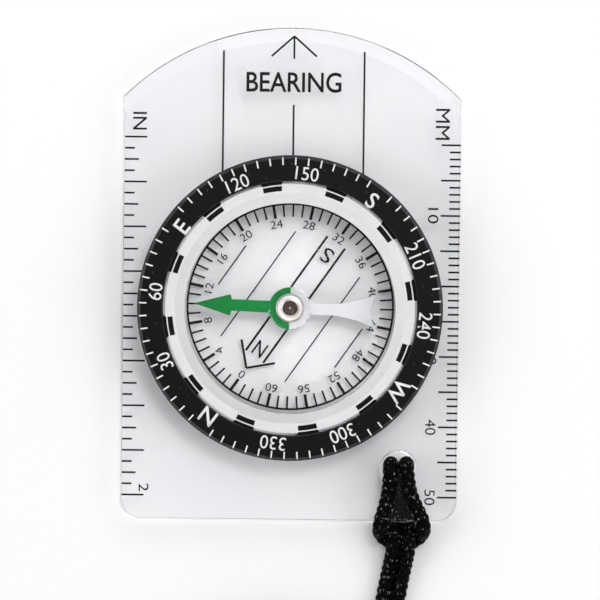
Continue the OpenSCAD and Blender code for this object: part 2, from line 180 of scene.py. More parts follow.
def copy_at(master: bpy.types.Object, place: Matrix) -> bpy.types.Object:
    """Copies a modelled shape, with a mesh of its own, to a place.

    Args:
        master: The shape, modelled at the origin.
        place: The copy's place, in metres.

    Returns:
        The copy, whose place is in its mesh.
    """
    twin = master.copy()
    twin.data = master.data.copy()
    bpy.context.scene.collection.objects.link(twin)
    return apply_place(twin, place)


def join_pieces(pieces: list[bpy.types.Object], name: str) -> bpy.types.Object:
    """Joins objects into one named piece.

    Args:
        pieces: The objects, each with its place in its mesh.
        name: Name of the piece.

    Returns:
        The joined object, at the origin.
    """
    make_active(pieces[0])
    for piece in pieces:
        piece.select_set(True)
    bpy.ops.object.join()
    joined = bpy.context.view_layer.objects.active
    joined.name = name
    joined.data.name = name
    return joined


def tidy_shell(piece: bpy.types.Object) -> None:
    """Merges a shape's doubled corners and turns all its faces outwards.

    Args:
        piece: The mesh object.
    """
    with editing(piece, "VERT"):
        bpy.ops.mesh.select_all(action="SELECT")
        bpy.ops.mesh.remove_doubles(threshold=MERGE)
        bpy.ops.mesh.normals_make_consistent(inside=False)


def face_up(piece: bpy.types.Object) -> None:
    """Turns the faces of a flat sheet that look down, so that all look up.

    Args:
        piece: The sheet.
    """
    with editing(piece):
        select_faces(piece, lambda middle, normal: normal.z < 0)
        bpy.ops.mesh.flip_normals()


def thicken(piece: bpy.types.Object, thickness: float) -> None:
    """Gives a flat sheet its thickness, on the side that its faces look to.

    Args:
        piece: The sheet.
        thickness: Thickness in metres.
    """
    make_active(piece)
    solid = piece.modifiers.new("film", "SOLIDIFY")
    solid.thickness = thickness
    solid.offset = 1.0
    bpy.ops.object.modifier_apply(modifier=solid.name)


# ---------------------------------------------------------------- shader building


class Graph:
    """Short way to place and link the nodes of a material or a group."""

    def __init__(self, tree: bpy.types.NodeTree) -> None:
        """Takes the tree that the nodes go into."""
        self.tree = tree
        self.place: Socket | None = None

    def put(self, socket: Socket, value: Value) -> None:
        """Links or sets one input.

        Args:
            socket: The input.
            value: Its value, or another node's output.
        """
        if isinstance(value, Socket):
            self.tree.links.new(value, socket)
        else:
            socket.default_value = value

    def feed(self, target: bpy.types.Node, **values: Value) -> None:
        """Links or sets a node's inputs.

        Args:
            target: The node.
            values: Input name, with an underscore for each space, to a value or an output.
        """
        for key, value in values.items():
            self.put(target.inputs[key.replace("_", " ")], value)

    def node(self, kind: str, links: dict | None = None,
             **settings: str | bpy.types.NodeTree) -> bpy.types.Node:
        """Adds one node.

        Args:
            kind: The node's type without its ShaderNode prefix.
            links: Input name or index to a value or to another node's output.
            settings: Attributes of the node itself.

        Returns:
            The new node.
        """
        made = self.tree.nodes.new("ShaderNode" + kind)
        for key, value in settings.items():
            setattr(made, key, value)
        for key, value in (links or {}).items():
            self.put(made.inputs[key], value)
        return made

    def math(self, operation: str, *values: Value) -> Socket:
        """Adds a Math node on the given values, and returns its output."""
        links = dict(enumerate(values))
        return self.node("Math", links, operation=operation).outputs[0]

    def mix_colour(self, factor: Value, a: Value, b: Value, blend: str = "MIX") -> Socket:
        """Adds a colour Mix node.

        Args:
            factor: Share of the second colour.
            a: First colour.
            b: Second colour.
            blend: How the two are blended.

        Returns:
            The mixed colour.
        """
        made = self.node("Mix", {0: factor, 6: a, 7: b}, data_type="RGBA", blend_type=blend)
        return made.outputs[2]

    def remap(self, value: Value, low: float, high: float, to_low: float = 0.0,
              to_high: float = 1.0) -> Socket:
        """Adds a smooth Map Range node.

        Args:
            value: The value to map.
            low: Input that gives to_low.
            high: Input that gives to_high.
            to_low: Lowest output.
            to_high: Highest output.

        Returns:
            The mapped value.
        """
        made = self.node("MapRange", {0: value, 1: low, 2: high, 3: to_low, 4: to_high},
                         interpolation_type="SMOOTHSTEP")
        return made.outputs[0]

    def group(self, effect: bpy.types.NodeTree, **inputs: Value) -> bpy.types.Node:
        """Places an effect's group.

        Args:
            effect: The node group.
            inputs: Input name, with an underscore for each space, to a value or an output.

        Returns:
            The group's node.
        """
        made = self.node("Group", node_tree=effect)
        self.feed(made, **inputs)
        return made


def new_effect(name: str, inputs: dict[str, float | tuple], outputs: dict[str, str]) -> tuple:
    """Starts a shader node group.

    Args:
        name: The effect's name.
        inputs: Input name to its usual value: a number, a colour, or () for a vector.
        outputs: Output name to its kind: Float or Color.

    Returns:
        The group, its Graph, its input sockets by name and its output node.
    """
    tree = bpy.data.node_groups.new(name, "ShaderNodeTree")
    for key, value in inputs.items():
        kind = ("Float" if isinstance(value, float) else "Color" if len(value) == 4
                else "Vector")
        made = tree.interface.new_socket(key, in_out="INPUT", socket_type="NodeSocket" + kind)
        if kind != "Vector":
            made.default_value = value
    for key, kind in outputs.items():
        tree.interface.new_socket(key, in_out="OUTPUT", socket_type="NodeSocket" + kind)
    source = tree.nodes.new("NodeGroupInput")
    result = tree.nodes.new("NodeGroupOutput")
    return tree, Graph(tree), source.outputs, result


def make_handling_wear() -> bpy.types.NodeTree:
    """Builds the wear that handling leaves on smooth surfaces.

    Returns:
        A group of hairline scratches and faint smears, as a roughness and a height.
    """
    tree, g, given, result = new_effect(
        "handling_wear",
        {"Vector": (), "Smooth": 0.05, "Worn": 0.2, "Scratches": 0.3},
        {"Roughness": "Float", "Height": "Float"})
    smear = g.node("TexNoise", {"Vector": given["Vector"], "Scale": 95.0, "Detail": 4.0,
                                "Roughness": 0.55})
    smeared = g.remap(smear.outputs["Fac"], 0.48, 0.78)
    lines = None
    for turn, stretch in ((0.5, 60.0), (2.1, 45.0)):
        turned = g.node("Mapping", {"Vector": given["Vector"], "Rotation": (0.0, 0.0, turn),
                                    "Scale": (stretch, 2600.0, 400.0)})
        hair = g.node("TexNoise", {"Vector": turned.outputs[0], "Scale": 1.0, "Detail": 1.0})
        line = g.remap(hair.outputs["Fac"], 0.70, 0.78)
        lines = line if lines is None else g.math("MAXIMUM", lines, line)
    scratched = g.math("MULTIPLY", lines, given["Scratches"])
    worn = g.math("MAXIMUM", smeared, scratched)
    spread = g.math("SUBTRACT", given["Worn"], given["Smooth"])
    rough = g.math("MULTIPLY_ADD", worn, spread, given["Smooth"])
    g.feed(result, Roughness=rough, Height=g.math("MULTIPLY", scratched, -1.0))
    return tree


def make_mould_grain() -> bpy.types.NodeTree:
    """Builds the fine grain of a moulded or painted surface.

    Returns:
        A group that puts out a height, a roughness and a slightly mottled colour.
    """
    tree, g, given, result = new_effect(
        "mould_grain",
        {"Vector": (), "Scale": 4000.0, "Color": (0.5, 0.5, 0.5, 1.0), "Mottle": 0.15,
         "Roughness": 0.4, "Roughness Spread": 0.1},
        {"Color": "Color", "Roughness": "Float", "Height": "Float"})
    grain = g.node("TexNoise", {"Vector": given["Vector"], "Scale": given["Scale"],
                                "Detail": 3.0, "Roughness": 0.6})
    broad_scale = g.math("MULTIPLY", given["Scale"], 0.08)
    broad = g.node("TexNoise", {"Vector": given["Vector"], "Scale": broad_scale,
                                "Detail": 2.0})
    pits = g.node("TexVoronoi", {"Vector": given["Vector"], "Scale": given["Scale"]},
                  feature="SMOOTH_F1")
    height = g.math("MULTIPLY_ADD", pits.outputs["Distance"], 0.5, grain.outputs["Fac"])
    shade = g.math("MULTIPLY_ADD", g.math("SUBTRACT", broad.outputs["Fac"], 0.5), 2.0, 0.0)
    tone = g.math("MULTIPLY_ADD", shade, given["Mottle"], 1.0)
    scaled = g.node("VectorMath", {0: given["Color"], "Scale": tone}, operation="SCALE")
    rough = g.math("MULTIPLY_ADD", g.math("SUBTRACT", grain.outputs["Fac"], 0.5),
                   given["Roughness Spread"], given["Roughness"])
    g.feed(result, Color=scaled.outputs[0], Roughness=rough, Height=height)
    return tree


def make_dust() -> bpy.types.NodeTree:
    """Builds sparse pale specks of dust.

    Returns:
        A group that lays specks over a colour and puts out the colour and their mask.
    """
    tree, g, given, result = new_effect(
        "dust_specks",
        {"Vector": (), "Color": (0.5, 0.5, 0.5, 1.0), "Dust": (0.6, 0.6, 0.58, 1.0),
         "Amount": 0.2},
        {"Color": "Color", "Mask": "Float"})
    specks = g.node("TexVoronoi", {"Vector": given["Vector"], "Scale": 1700.0,
                                   "Randomness": 1.0})
    near = g.remap(specks.outputs["Distance"], 0.22, 0.05)
    chosen = g.node("SeparateColor", {0: specks.outputs["Color"]})
    rare = g.math("GREATER_THAN", chosen.outputs[0], 0.86)
    mask = g.math("MULTIPLY", g.math("MULTIPLY", near, rare), given["Amount"])
    laid = g.mix_colour(mask, given["Color"], given["Dust"])
    g.feed(result, Color=laid, Mask=mask)
    return tree


def make_turning() -> bpy.types.NodeTree:
    """Builds the concentric marks of a turned surface round the dial's axis.

    Returns:
        A group that puts out the radius in mm and the height of the turning marks.
    """
    tree, g, given, result = new_effect(
        "turning_marks", {"Vector": (), "Pitch": 0.08}, {"Radius": "Float", "Height": "Float"})
    centred = g.node("Mapping", {"Vector": given["Vector"],
                                 "Location": (0.0, DIAL.axis_y * MM, 0.0)},
                     vector_type="TEXTURE")
    flat = g.node("VectorMath", {0: centred.outputs[0], 1: (1.0, 1.0, 0.0)},
                  operation="MULTIPLY")
    length = g.node("VectorMath", {0: flat.outputs[0]}, operation="LENGTH")
    radius = g.math("DIVIDE", length.outputs["Value"], MM)
    phase = g.math("DIVIDE", g.math("MULTIPLY", radius, math.tau), given["Pitch"])
    chatter = g.node("TexNoise", {"Vector": given["Vector"], "Scale": 900.0, "Detail": 2.0})
    ripple = g.math("SINE", phase)
    g.feed(result, Radius=radius, Height=g.math("MULTIPLY", ripple, chatter.outputs["Fac"]))
    return tree


WEAR = make_handling_wear()
GRAIN = make_mould_grain()
DUST = make_dust()
TURNING = make_turning()


@dataclass(frozen=True)
class Grain:
    """Fine grain of a surface: how dense it is, how mottled, how rough and how unevenly so."""

    scale: float
    mottle: float
    roughness: float
    spread: float


class Finish:
    """Start of a finish: a material with its shader and its Object coordinates."""

    def start(self, name: str) -> tuple[bpy.types.Material, Graph, bpy.types.Node]:
        """Makes an empty material.

        Args:
            name: The material's name.

        Returns:
            The material, its Graph and its Principled BSDF, not yet linked to the output.
        """
        material = bpy.data.materials.new(name)
        material.use_nodes = True
        material.node_tree.nodes.clear()
        g = Graph(material.node_tree)
        shader = g.node("BsdfPrincipled")
        g.place = g.node("TexCoord").outputs["Object"]
        return material, g, shader

    def add_grain(self, g: Graph, colour: Colour | Socket, grain: Grain) -> bpy.types.Node:
        """Lays a grain over a colour.

        Args:
            g: The material's Graph.
            colour: The colour, or the output that gives it.
            grain: The grain.

        Returns:
            The node that puts out the colour, the roughness and the height.
        """
        return g.group(GRAIN, Vector=g.place, Scale=grain.scale, Color=colour,
                       Mottle=grain.mottle, Roughness=grain.roughness,
                       Roughness_Spread=grain.spread)

    def close(self, g: Graph, surface: Socket) -> None:
        """Links a finished surface to the material's output."""
        g.node("OutputMaterial", {"Surface": surface})

    def bump(self, g: Graph, shader: bpy.types.Node, height: Socket,
             relief: tuple[float, float]) -> None:
        """Gives a shader its relief.

        Args:
            g: The material's Graph.
            shader: The shader to relieve.
            height: Height, from 0 to 1.
            relief: Share of the relief that shows, and its depth in metres.
        """
        made = g.node("Bump", {"Height": height, "Strength": relief[0], "Distance": relief[1]})
        g.feed(shader, Normal=made.outputs[0])

    def complete(self, g: Graph, shader: bpy.types.Node, height: Socket,
                 relief: tuple[float, float], **inputs: Value) -> None:
        """Feeds a shader, gives it its relief and makes it the material's surface.

        Args:
            g: The material's Graph.
            shader: The Principled BSDF.
            height: Height, from 0 to 1.
            relief: Share of the relief that shows, and its depth in metres.
            inputs: The shader's inputs, with an underscore for each space.
        """
        g.feed(shader, **inputs)
        self.bump(g, shader, height, relief)
        self.close(g, shader.outputs[0])


@dataclass(frozen=True)
class ClearPlastic(Finish):
    """Clear plastic that lets the lamps' light through to what lies below it."""

    name: str
    tint: Colour
    light_tint: Colour
    smooth: float
    worn: float
    scratches: float
    veil: Colour = (0.94, 0.94, 0.948, 1.0)
    refraction: float = 1.49
    relief: tuple[float, float] = (0.15, 0.00001)
    cloud_scale: float = 60.0
    cloud_range: tuple[float, float] = (0.35, 0.7)

    def make(self) -> bpy.types.Material:
        """Builds the material.

        Returns:
            The material.
        """
        material, g, shader = self.start(self.name)
        wear = g.group(WEAR, Vector=g.place, Smooth=self.smooth, Worn=self.worn,
                       Scratches=self.scratches)
        cloud = g.node("TexNoise", {"Vector": g.place, "Scale": self.cloud_scale,
                                    "Detail": 2.0})
        share = g.remap(cloud.outputs["Fac"], *self.cloud_range)
        tinted = g.mix_colour(share, self.tint, self.light_tint)
        g.feed(shader, Base_Color=tinted, Roughness=wear.outputs["Roughness"],
               IOR=self.refraction, Transmission_Weight=1.0)
        self.bump(g, shader, wear.outputs["Height"], self.relief)
        clear = g.node("BsdfTransparent", {"Color": self.veil})
        ray = g.node("LightPath")
        mixed = g.node("MixShader", {0: ray.outputs["Is Shadow Ray"], 1: shader.outputs[0],
                                     2: clear.outputs[0]})
        self.close(g, mixed.outputs[0])
        return material


@dataclass(frozen=True)
class FrostedPlastic(Finish):
    """Fine white frosting that hides most of what lies below it."""

    name: str = "flange_frosting"
    colour: Colour = (0.85, 0.85, 0.855, 1.0)
    cover: float = 0.74
    grain: Grain = Grain(3500.0, 0.08, 0.55, 0.2)
    relief: tuple[float, float] = (0.4, 0.00001)

    def make(self) -> bpy.types.Material:
        """Builds the material.

        Returns:
            The material.
        """
        material, g, shader = self.start(self.name)
        grain = self.add_grain(g, self.colour, self.grain)
        self.complete(g, shader, grain.outputs["Height"], self.relief, Alpha=self.cover,
                      Base_Color=grain.outputs["Color"], Roughness=grain.outputs["Roughness"])
        return material


@dataclass(frozen=True)
class MouldedPlastic(Finish):
    """Opaque moulded plastic with a fine grain, a little dust, and slanted faces painted paler in
    patches: partly wear from rubbing, partly a painted sheen.
    """

    name: str
    colour: Colour
    edge_colour: Colour
    grain: Grain = Grain(5200.0, 0.3, 0.42, 0.16)
    gloss: float = 0.14
    dust: float = 0.12
    rub_scale: float = 420.0
    rub_range: tuple[float, float, float, float] = (0.35, 0.6, 0.35, 1.0)
    slant_range: tuple[float, float] = (0.97, 0.6)
    relief: tuple[float, float] = (0.35, 0.00002)

    def make(self) -> bpy.types.Material:
        """Builds the material.

        Returns:
            The material.
        """
        material, g, shader = self.start(self.name)
        grain = self.add_grain(g, self.colour, self.grain)
        geometry = g.node("NewGeometry")
        rub = g.node("TexNoise", {"Vector": g.place, "Scale": self.rub_scale, "Detail": 3.0})
        # Slanted faces are painted paler in noisy patches: partly wear from rubbing, partly a
        # painted sheen.
        slanted = g.node("SeparateXYZ", {0: geometry.outputs["True Normal"]})
        tilt = g.remap(slanted.outputs[2], *self.slant_range)
        wear_and_sheen_mask = g.math("MULTIPLY", tilt, g.remap(rub.outputs["Fac"], *self.rub_range))
        wear_and_sheen_tone = g.mix_colour(wear_and_sheen_mask, grain.outputs["Color"], self.edge_colour)
        dust = g.group(DUST, Vector=g.place, Color=wear_and_sheen_tone, Amount=self.dust)
        self.complete(g, shader, grain.outputs["Height"], self.relief,
                      Base_Color=dust.outputs["Color"], Roughness=grain.outputs["Roughness"],
                      Specular_IOR_Level=self.gloss)
        return material


@dataclass(frozen=True)
class PrintedInk(Finish):
    """Film of screen-printed ink with a slightly uneven cover."""

    name: str
    colour: Colour
    grain: Grain = Grain(9000.0, 0.18, 0.45, 0.2)
    gloss: float = 0.2
    relief: tuple[float, float] = (0.3, 0.000005)

    def make(self) -> bpy.types.Material:
        """Builds the material.

        Returns:
            The material.
        """
        material, g, shader = self.start(self.name)
        grain = self.add_grain(g, self.colour, self.grain)
        self.complete(g, shader, grain.outputs["Height"], self.relief,
                      Base_Color=grain.outputs["Color"], Roughness=grain.outputs["Roughness"],
                      Specular_IOR_Level=self.gloss)
        return material


@dataclass(frozen=True)
class NeedlePaint(Finish):
    """Two-colour paint: green on the needle's north half and white on its south half, with
    painted shade making the green darker on the flanks.
    """

    name: str = "needle_paint"
    north: Colour = (0.003, 0.19, 0.035, 1.0)
    north_edge: Colour = (0.008, 0.13, 0.035, 1.0)
    south: Colour = (0.62, 0.625, 0.64, 1.0)
    border: float = 0.00002
    flank_range: tuple[float, float] = (0.9, 0.4)
    grain: Grain = Grain(2600.0, 0.12, 0.32, 0.14)
    gloss: float = 0.3
    relief: tuple[float, float] = (0.25, 0.00001)

    def make(self) -> bpy.types.Material:
        """Builds the material.

        Returns:
            The material.
        """
        material, g, shader = self.start(self.name)
        turned = g.node("Mapping", {"Vector": g.place,
                                    "Location": (0.0, DIAL.axis_y * MM, 0.0),
                                    "Rotation": (0.0, 0.0, math.radians(DIAL.needle_north))},
                        vector_type="TEXTURE")
        along = g.node("SeparateXYZ", {0: turned.outputs[0]})
        is_north = g.remap(along.outputs[0], -self.border, self.border)
        # The green is painted darker on faces that slant away from the top: painted shade.
        geometry = g.node("NewGeometry")
        facing = g.node("SeparateXYZ", {0: geometry.outputs["True Normal"]})
        flank_shade = g.remap(g.math("ABSOLUTE", facing.outputs[2]), *self.flank_range)
        green = g.mix_colour(flank_shade, self.north, self.north_edge)
        paint = g.mix_colour(is_north, self.south, green)
        grain = self.add_grain(g, paint, self.grain)
        self.complete(g, shader, grain.outputs["Height"], self.relief,
                      Base_Color=grain.outputs["Color"], Roughness=grain.outputs["Roughness"],
                      Specular_IOR_Level=self.gloss)
        return material


@dataclass(frozen=True)
class TurnedMetal(Finish):
    """Turned metal, with marks round the dial's axis and a painted dark reflection in patches
    near its bore.
    """

    name: str
    colour: Colour
    stain: Colour
    stain_radius: float
    smooth: float = 0.12
    worn: float = 0.3
    pitch: float = 0.09
    scratches: float = 0.4
    stain_fade: float = 0.5
    patch_scale: float = 650.0
    patch_range: tuple[float, float] = (0.42, 0.66)
    relief: tuple[float, float] = (0.8, 0.000012)

    def make(self) -> bpy.types.Material:
        """Builds the material.

        Returns:
            The material.
        """
        material, g, shader = self.start(self.name)
        turning = g.group(TURNING, Vector=g.place, Pitch=self.pitch)
        wear = g.group(WEAR, Vector=g.place, Smooth=self.smooth, Worn=self.worn,
                       Scratches=self.scratches)
        patches = g.node("TexNoise", {"Vector": g.place, "Scale": self.patch_scale,
                                      "Detail": 3.0})
        # Patches near the bore are painted darker: a painted dark reflection.
        near = g.remap(turning.outputs["Radius"], self.stain_radius + self.stain_fade,
                       self.stain_radius)
        patchy = g.remap(patches.outputs["Fac"], *self.patch_range)
        dark_reflection_mask = g.math("MULTIPLY", near, patchy)
        tone = g.mix_colour(dark_reflection_mask, self.colour, self.stain)
        self.complete(g, shader, turning.outputs["Height"], self.relief, Base_Color=tone,
                      Roughness=wear.outputs["Roughness"], Metallic=1.0)
        return material


@dataclass(frozen=True)
class PolishedJewel(Finish):
    """Dark polished stone with a painted highlight at its middle, where the pivot's point would
    shine.
    """

    name: str = "bearing_jewel"
    colour: Colour = (0.06, 0.038, 0.032, 1.0)
    glint: Colour = (0.9, 0.87, 0.83, 1.0)
    glint_radius: float = 0.09
    glint_fade: float = 0.05
    grain: Grain = Grain(5000.0, 0.5, 0.22, 0.15)
    relief: tuple[float, float] = (0.2, 0.000006)

    def make(self) -> bpy.types.Material:
        """Builds the material.

        Returns:
            The material.
        """
        material, g, shader = self.start(self.name)
        grain = self.add_grain(g, self.colour, self.grain)
        turning = g.group(TURNING, Vector=g.place)
        # A small disc at the middle is painted pale: a painted highlight.
        painted_highlight_mask = g.remap(turning.outputs["Radius"], self.glint_radius + self.glint_fade,
                         self.glint_radius - self.glint_fade)
        tone = g.mix_colour(painted_highlight_mask, grain.outputs["Color"], self.glint)
        self.complete(g, shader, grain.outputs["Height"], self.relief, Base_Color=tone,
                      Roughness=grain.outputs["Roughness"])
        return material


@dataclass(frozen=True)
class BraidedNylon(Finish):
    """Black braid: fine fibres along each strand with painted highlights on the strands' crowns,
    and painted shade in the gaps between the strands.
    """

    name: str = "braided_nylon"
    strand: Colour = (0.0015, 0.0015, 0.0016, 1.0)
    gap: Colour = (0.0008, 0.0008, 0.0008, 1.0)
    fibre: Colour = (0.32, 0.315, 0.3, 1.0)
    fibres_per_turn: float = 90.0
    fibre_slant: float = 2100.0
    thread_range: tuple[float, float] = (0.2, 1.0)
    break_scale: float = 2200.0
    break_range: tuple[float, float] = (0.55, 0.65)
    gap_range: tuple[float, float] = (0.0, 0.55)
    crown_range: tuple[float, float] = (0.4, 0.9)
    grain: Grain = Grain(6000.0, 0.3, 0.5, 0.2)
    gloss: float = 0.03
    relief: tuple[float, float] = (0.6, 0.00003)

    def make(self) -> bpy.types.Material:
        """Builds the material.

        Returns:
            The material.
        """
        material, g, shader = self.start(self.name)
        lay = g.node("Attribute", attribute_name="strand_lay").outputs["Fac"]
        rise = g.node("Attribute", attribute_name="strand_relief").outputs["Fac"]
        uv = g.node("TexCoord").outputs["UV"]
        part = g.node("SeparateXYZ", {0: uv})
        turns = g.math("MULTIPLY", part.outputs[0], self.fibres_per_turn)
        slant = g.math("MULTIPLY", part.outputs[1], self.fibre_slant)
        signed = g.math("MULTIPLY", slant, g.math("MULTIPLY_ADD", lay, 2.0, -1.0))
        phase = g.math("ADD", turns, signed)
        across = g.math("SINE", phase)
        broken = g.node("TexNoise", {"Vector": g.place, "Scale": self.break_scale,
                                     "Detail": 2.0})
        threads = g.math("MULTIPLY", g.remap(across, *self.thread_range),
                         g.remap(broken.outputs["Fac"], *self.break_range))
        # The gaps between strands are painted darker: painted shade.
        deep = g.remap(rise, *self.gap_range)
        base = g.mix_colour(deep, self.gap, self.strand)
        # Pale streaks along the fibres on the strands' crowns: painted highlights.
        fibre_highlight_mask = g.math("MULTIPLY", threads, g.remap(rise, *self.crown_range))
        tone = g.mix_colour(fibre_highlight_mask, base, self.fibre)
        grain = self.add_grain(g, tone, self.grain)
        height = g.math("MULTIPLY_ADD", across, 0.5, grain.outputs["Height"])
        self.complete(g, shader, height, self.relief, Base_Color=grain.outputs["Color"],
                      Roughness=grain.outputs["Roughness"], Specular_IOR_Level=self.gloss)
        return material


@dataclass(frozen=True)
class StudioFloor(Finish):
    """Matt white sheet that the compass lies on."""

    name: str = "studio_floor"
    colour: Colour = (0.93, 0.93, 0.93, 1.0)
    grain: Grain = Grain(500.0, 0.01, 0.9, 0.05)
    gloss: float = 0.1

    def make(self) -> bpy.types.Material:
        """Builds the material.

        Returns:
            The material.
        """
        material, g, shader = self.start(self.name)
        grain = self.add_grain(g, self.colour, self.grain)
        g.feed(shader, Base_Color=grain.outputs["Color"], Roughness=grain.outputs["Roughness"],
               Specular_IOR_Level=self.gloss)
        self.close(g, shader.outputs[0])
        return material


def dress(material: bpy.types.Material, *pieces: bpy.types.Object) -> None:
    """Gives pieces their material.

    Args:
        material: The material.
        pieces: New pieces or CAD nodes.
    """
    for piece in pieces:
        if not piece.data.materials:
            piece.data.materials.append(material)
        for i in range(len(piece.data.materials)):
            piece.data.materials[i] = material


# ---------------------------------------------------------------- studio


@dataclass(frozen=True)
class Lamp:
    """One square soft light, by its direction from the compass."""

    name: str
    azimuth: float
    elevation: float
    distance: float
    size: float
    power: float

    def build(self, target: Vector) -> bpy.types.Object:
        """Adds the lamp.

        Args:
            target: The point that it is turned towards, in metres.

        Returns:
            The lamp.
        """
        a, e = math.radians(self.azimuth), math.radians(self.elevation)
        way = Vector((math.cos(a) * math.cos(e), math.sin(a) * math.cos(e), math.sin(e)))
        light = bpy.data.lights.new(self.name, "AREA")
        light.shape = "SQUARE"
        light.size = self.size
        light.energy = self.power
        lamp = bpy.data.objects.new(self.name, light)
        lamp.location = target + way * self.distance
        lamp.rotation_mode = "QUATERNION"
        lamp.rotation_quaternion = (-way).to_track_quat("-Z", "Y")
        bpy.context.scene.collection.objects.link(lamp)
        return lamp


@dataclass
class Studio:
    """Floor, soft lamps, pale surroundings and camera."""

    target: Point = (1.39, -3.51, 4.0)
    distance: float = 0.60
    lens: float = 254.0
    tilt_right: float = 0.2
    tilt_forward: float = 2.4
    roll: float = 0.7
    floor_gap: float = 0.00005
    floor_size: float = 3.0
    floor_cuts: int = 3
    zenith: Colour = (0.16, 0.16, 0.165, 1.0)
    horizon: Colour = (0.95, 0.95, 0.97, 1.0)
    sky_climb: tuple[float, float] = (0.75, 0.97)
    sky_strength: float = 0.67
    clear_layers: int = 32
    lamps: tuple[Lamp, ...] = (
        Lamp("key", 78.0, 52.0, 0.9, 0.75, 2.2),
        Lamp("top", 60.0, 70.0, 0.9, 0.2, 1.4),
        Lamp("fill_left", 185.0, 38.0, 0.9, 0.5, 1.5),
        Lamp("fill_right", -15.0, 42.0, 0.9, 0.5, 1.8),
    )

    def build_camera(self) -> bpy.types.Object:
        """Adds the camera, almost straight over the plate.

        Returns:
            The camera.
        """
        right, forward = math.radians(self.tilt_right), math.radians(self.tilt_forward)
        way = Vector((math.sin(right), math.sin(forward), 1.0)).normalized()
        data = bpy.data.cameras.new("camera")
        data.sensor_width = 36.0
        data.lens = self.lens
        data.clip_start, data.clip_end = 0.01, 20.0
        camera = bpy.data.objects.new("camera", data)
        side = Vector((1.0, 0.0, 0.0))
        side = (side - way * side.dot(way)).normalized()
        up = way.cross(side)
        turn = Matrix((side, up, way)).transposed().to_4x4()
        rolled = turn @ Matrix.Rotation(math.radians(self.roll), 4, "Z")
        place = Matrix.Translation(Vector(self.target) * MM + way * self.distance)
        camera.matrix_world = place @ rolled
        bpy.context.scene.collection.objects.link(camera)
        bpy.context.scene.camera = camera
        return camera

    def build_floor(self) -> bpy.types.Object:
        """Models the flat floor sheet.

        Returns:
            The floor.
        """
        deselect_all()
        bpy.ops.mesh.primitive_plane_add(size=self.floor_size,
                                         location=(0.0, 0.0, -self.floor_gap))
        floor = bpy.context.view_layer.objects.active
        floor.name = "floor"
        apply_place(floor, Matrix.Translation((0.0, 0.0, -self.floor_gap)))
        with editing(floor):
            bpy.ops.mesh.select_all(action="SELECT")
            bpy.ops.mesh.subdivide(number_cuts=self.floor_cuts)
        dress(StudioFloor().make(), floor)
        return floor

    def build_surroundings(self) -> bpy.types.World:
        """Makes the pale surroundings, darker overhead.

        Returns:
            The surroundings.
        """
        world = bpy.data.worlds.new("surroundings")
        world.use_nodes = True
        world.node_tree.nodes.clear()
        g = Graph(world.node_tree)
        direction = g.node("TexCoord").outputs["Generated"]
        height = g.node("SeparateXYZ", {0: direction}).outputs[2]
        climb = g.remap(height, *self.sky_climb)
        sky = g.mix_colour(climb, self.horizon, self.zenith)
        background = g.node("Background", {"Color": sky, "Strength": self.sky_strength})
        g.node("OutputWorld", {"Surface": background.outputs[0]})
        bpy.context.scene.world = world
        return world

    def build(self) -> None:
        """Builds the whole studio."""
        self.build_camera()
        self.build_floor()
        self.build_surroundings()
        for lamp in self.lamps:
            lamp.build(Vector(self.target) * MM)
        scene = bpy.context.scene
        scene.view_settings.view_transform = "Standard"
        scene.cycles.transparent_max_bounces = self.clear_layers
        scene.cycles.transmission_bounces = self.clear_layers
        scene.cycles.max_bounces = self.clear_layers


# ---------------------------------------------------------------- lanyard


def smooth_route(points: list[Vector], step: float) -> list[Vector]:
    """Draws one smooth line through points, as a centripetal spline.

    Args:
        points: The points that the line passes through.
        step: About how far apart the line's own points are.

    Returns:
        The points of the smooth line.
    """
    ends = [2 * points[0] - points[1], *points, 2 * points[-1] - points[-2]]
    line = []
    for p0, p1, p2, p3 in zip(ends, ends[1:], ends[2:], ends[3:]):
        t1 = math.sqrt((p1 - p0).length)
        t2 = t1 + math.sqrt((p2 - p1).length)
        t3 = t2 + math.sqrt((p3 - p2).length)
        count = max(2, round((p2 - p1).length / step))
        for k in range(count):
            t = t1 + (t2 - t1) * k / count
            a1 = p0.lerp(p1, t / t1)
            a2 = p1.lerp(p2, (t - t1) / (t2 - t1))
            a3 = p2.lerp(p3, (t - t2) / (t3 - t2))
            b1 = a1.lerp(a2, t / t2)
            b2 = a2.lerp(a3, (t - t1) / (t3 - t1))
            line.append(b1.lerp(b2, (t - t1) / (t2 - t1)))
    line.append(points[-1].copy())
    return line


def even_line(line: list[Vector], step: float) -> list[Vector]:
    """Resamples a line so that its points are evenly spaced.

    Args:
        line: Points of the line.
        step: About how far apart the new points are.

    Returns:
        The evenly spaced points, both ends among them.
    """
    reach = [0.0]
    for a, b in zip(line, line[1:]):
        reach.append(reach[-1] + (b - a).length)
    count = round(reach[-1] / step)
    spaced, i = [], 0
    for k in range(count + 1):
        want = reach[-1] * k / count
        while i < len(line) - 2 and reach[i + 1] < want:
            i += 1
        span = reach[i + 1] - reach[i]
        spaced.append(line[i].lerp(line[i + 1], (want - reach[i]) / span if span else 0.0))
    return spaced


def line_length(line: list[Vector]) -> float:
    """Returns the length of a line."""
    return sum((b - a).length for a, b in zip(line, line[1:]))


